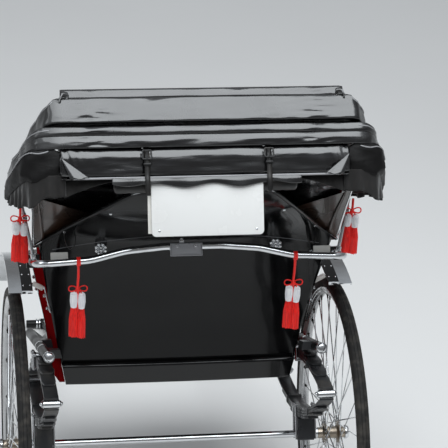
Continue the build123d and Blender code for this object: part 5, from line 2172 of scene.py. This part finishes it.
@dataclass(frozen=True)
class Tassel:
    """Two tassels on one cord with a bow, plumb in the parked stance."""

    name: str
    hook: tuple[float, float, float]
    cord: float
    head: float = 58.0
    skirt: float = 98.0
    radius: float = 13.5
    spread: float = 12.5
    cord_radius: float = 4.2
    in_skirt: float = 26.0
    sway: float = 1.2
    turns: int = 22
    threads: int = 46

    def matrix(self) -> Matrix:
        """From plumb millimetres under the hook to the row frame."""
        return Matrix.Translation(TIPPED @ Vector(self.hook)) @ Matrix.Scale(0.001, 4)

    def build(self) -> None:
        """Builds cord, bow, heads and skirts."""
        matrix, length = self.matrix(), self.cord + self.head + self.in_skirt
        points = [(0, 0, 0), (self.sway, 0.6, -length * 0.2), (-self.sway, -0.5, -length * 0.42),
                  (0, 0, -length * 0.65), (0, 0, -length)]
        cord = wire_line(points, self.cord_radius, f"{self.name}_cord", matrix)
        cord.data.materials.append(RED_SILK.material())
        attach(cord, Body.CARRIAGE.value)
        white, red = bmesh.new(), bmesh.new()
        for side, extra in ((-1, 0.0), (1, 5.0)):
            x0, top = side * self.spread, -self.cord - 4 - extra
            for number in range(self.turns):
                angle = math.tau * number / self.turns
                c, s = math.cos(angle), math.sin(angle)
                rows = [(1.5, top), (self.radius * 0.75, top - 9), (self.radius * 0.82, top - self.head * 0.6),
                        (self.radius * 0.62, top - self.head)]
                for (r1, z1), (r2, z2) in zip(rows, rows[1:]):
                    add_rod(white, (x0 + r1 * c, r1 * s, z1), (x0 + r2 * c, r2 * s, z2), 2.0, 2.0, 6)
            neck = top - self.head
            add_rod(white, (x0, 0, top - 4), (x0, 0, neck), self.radius * 0.5, segments=10)
            for drop in (0, 4, 8):
                add_rod(red, (x0, 0, neck - drop - 3), (x0, 0, neck - drop), self.radius * 0.72, self.radius * 0.7, 18)
            add_rod(red, (x0, 0, neck - self.skirt + 8), (x0, 0, neck), self.radius * 0.8, self.radius * 0.5, 14)
            for number in range(self.threads):
                angle = math.tau * number / self.threads
                jitter = waves(number * 1.7, side * 5.0, 2.0)
                r1 = self.radius * (0.62 + 0.1 * jitter)
                r2 = self.radius * (0.98 + 0.14 * jitter)
                low = neck - self.skirt - 5 * jitter
                mid = neck - self.skirt * 0.4
                spots = [(r1, neck - 8), (r2 * 0.96, mid), (r2, low)]
                for (a, z1), (b, z2) in zip(spots, spots[1:]):
                    add_rod(red, (x0 + a * math.cos(angle), a * math.sin(angle), z1),
                            (x0 + b * math.cos(angle + 0.05), b * math.sin(angle + 0.05), z2), 1.5, 1.3, 5)
        bow_z = -self.cord + 5
        for side in (-1, 1):
            loop = [Vector((side * 30 * math.sin(t), 3 * math.cos(t), bow_z + 9 * math.sin(2 * t)))
                    for t in (math.pi * k / 14 for k in range(15))]
            add_wire(red, loop, 2.2)
            add_wire(red, [(0, 0, bow_z), (side * 9, -3, bow_z - 10), (side * 14, -4, bow_z - 26)], 2.0)
        add_dome(red, (0, 0, bow_z - 4), (0, 0, 1), 8, 9)
        if "bar" in self.name:
            add_rod(red, (-6, 0, 12), (6, 0, 12), 14.5, segments=24)
        heads = piece(white, f"{self.name}_heads", WHITE_SILK, matrix=matrix, sharp=60)
        skirts = piece(red, f"{self.name}_skirts_and_bow", RED_SILK, matrix=matrix, sharp=60)
        if self.name.endswith("bar_left"):
            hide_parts("tassels")


@dataclass(frozen=True)
class ShaftFittings:
    """Ferrules and end caps on the shafts and rings on the grab bar."""

    shaft_x: float = 455.0
    shaft_z: float = 874.0
    rear_y: float = -334.0
    band_y: tuple[float, float] = (-60.0, 62.0)
    bar_y: float = 1750.0
    bar_z: float = 815.0
    ring_x: tuple[float, float] = (341.0, 352.0)

    def build(self) -> None:
        """Builds them as one piece."""
        bm, z = bmesh.new(), self.shaft_z
        for side in (-1, 1):
            x = side * self.shaft_x
            add_rod(bm, (x, self.rear_y, z), (x, self.rear_y + 16, z), 19, segments=28)
            add_dome(bm, (x, self.rear_y, z), (0, -1, 0), 16, 6, 20)
            for y in self.band_y:
                add_rod(bm, (x, y - 7, z), (x, y + 7, z), 18.6, segments=28)
            add_rod(bm, (side * 315, 1690, 811.5), (side * 315, 1712, 813.5), 19.2, segments=28)
            for reach in self.ring_x:
                add_rod(bm, (side * reach, self.bar_y, self.bar_z), (side * (reach + 5), self.bar_y, self.bar_z),
                        20.9, segments=28)
        piece(bm, "shaft_ferrules", CHROME)


def main() -> None:
    """Builds every sub-assembly in order."""
    logging.basicConfig(level=logging.INFO, format="%(message)s")
    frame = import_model()
    studio = Studio()
    studio.place_camera()
    coachwork = Coachwork()
    tassels = [Tassel("tassel_bar_left", (-368.0, -520.0, 1185.0), 92.0, skirt=106),
               Tassel("tassel_bar_right", (335.0, -520.0, 1185.0), 92.0),
               Tassel("tassel_pivot_left", (-545.0, -450.0, 1373.0), 48.0, head=46, skirt=96, radius=14.5),
               Tassel("tassel_pivot_right", (545.0, -450.0, 1373.0), 48.0, head=46, skirt=96, radius=14.5)]
    for tassel in tassels:
        tassel.build()
        LOG.info("built %s", tassel.name)
    studio.lay_floor()
    studio.light()
    for side in Side:
        Wheel(side).build()
        Springs(side).build()
        LOG.info("built the %s wheel and springs", side.label)
    coachwork.build(frame["nodes"])
    LOG.info("built the coachwork")
    RearFittings(coachwork).build()
    LOG.info("built the rear fittings")
    Hood().build()
    LOG.info("built the hood")
    Pads().build(coachwork)
    ShaftFittings().build()
    LOG.info("built the pads and shaft fittings")


if __name__ == "__main__":
    main()
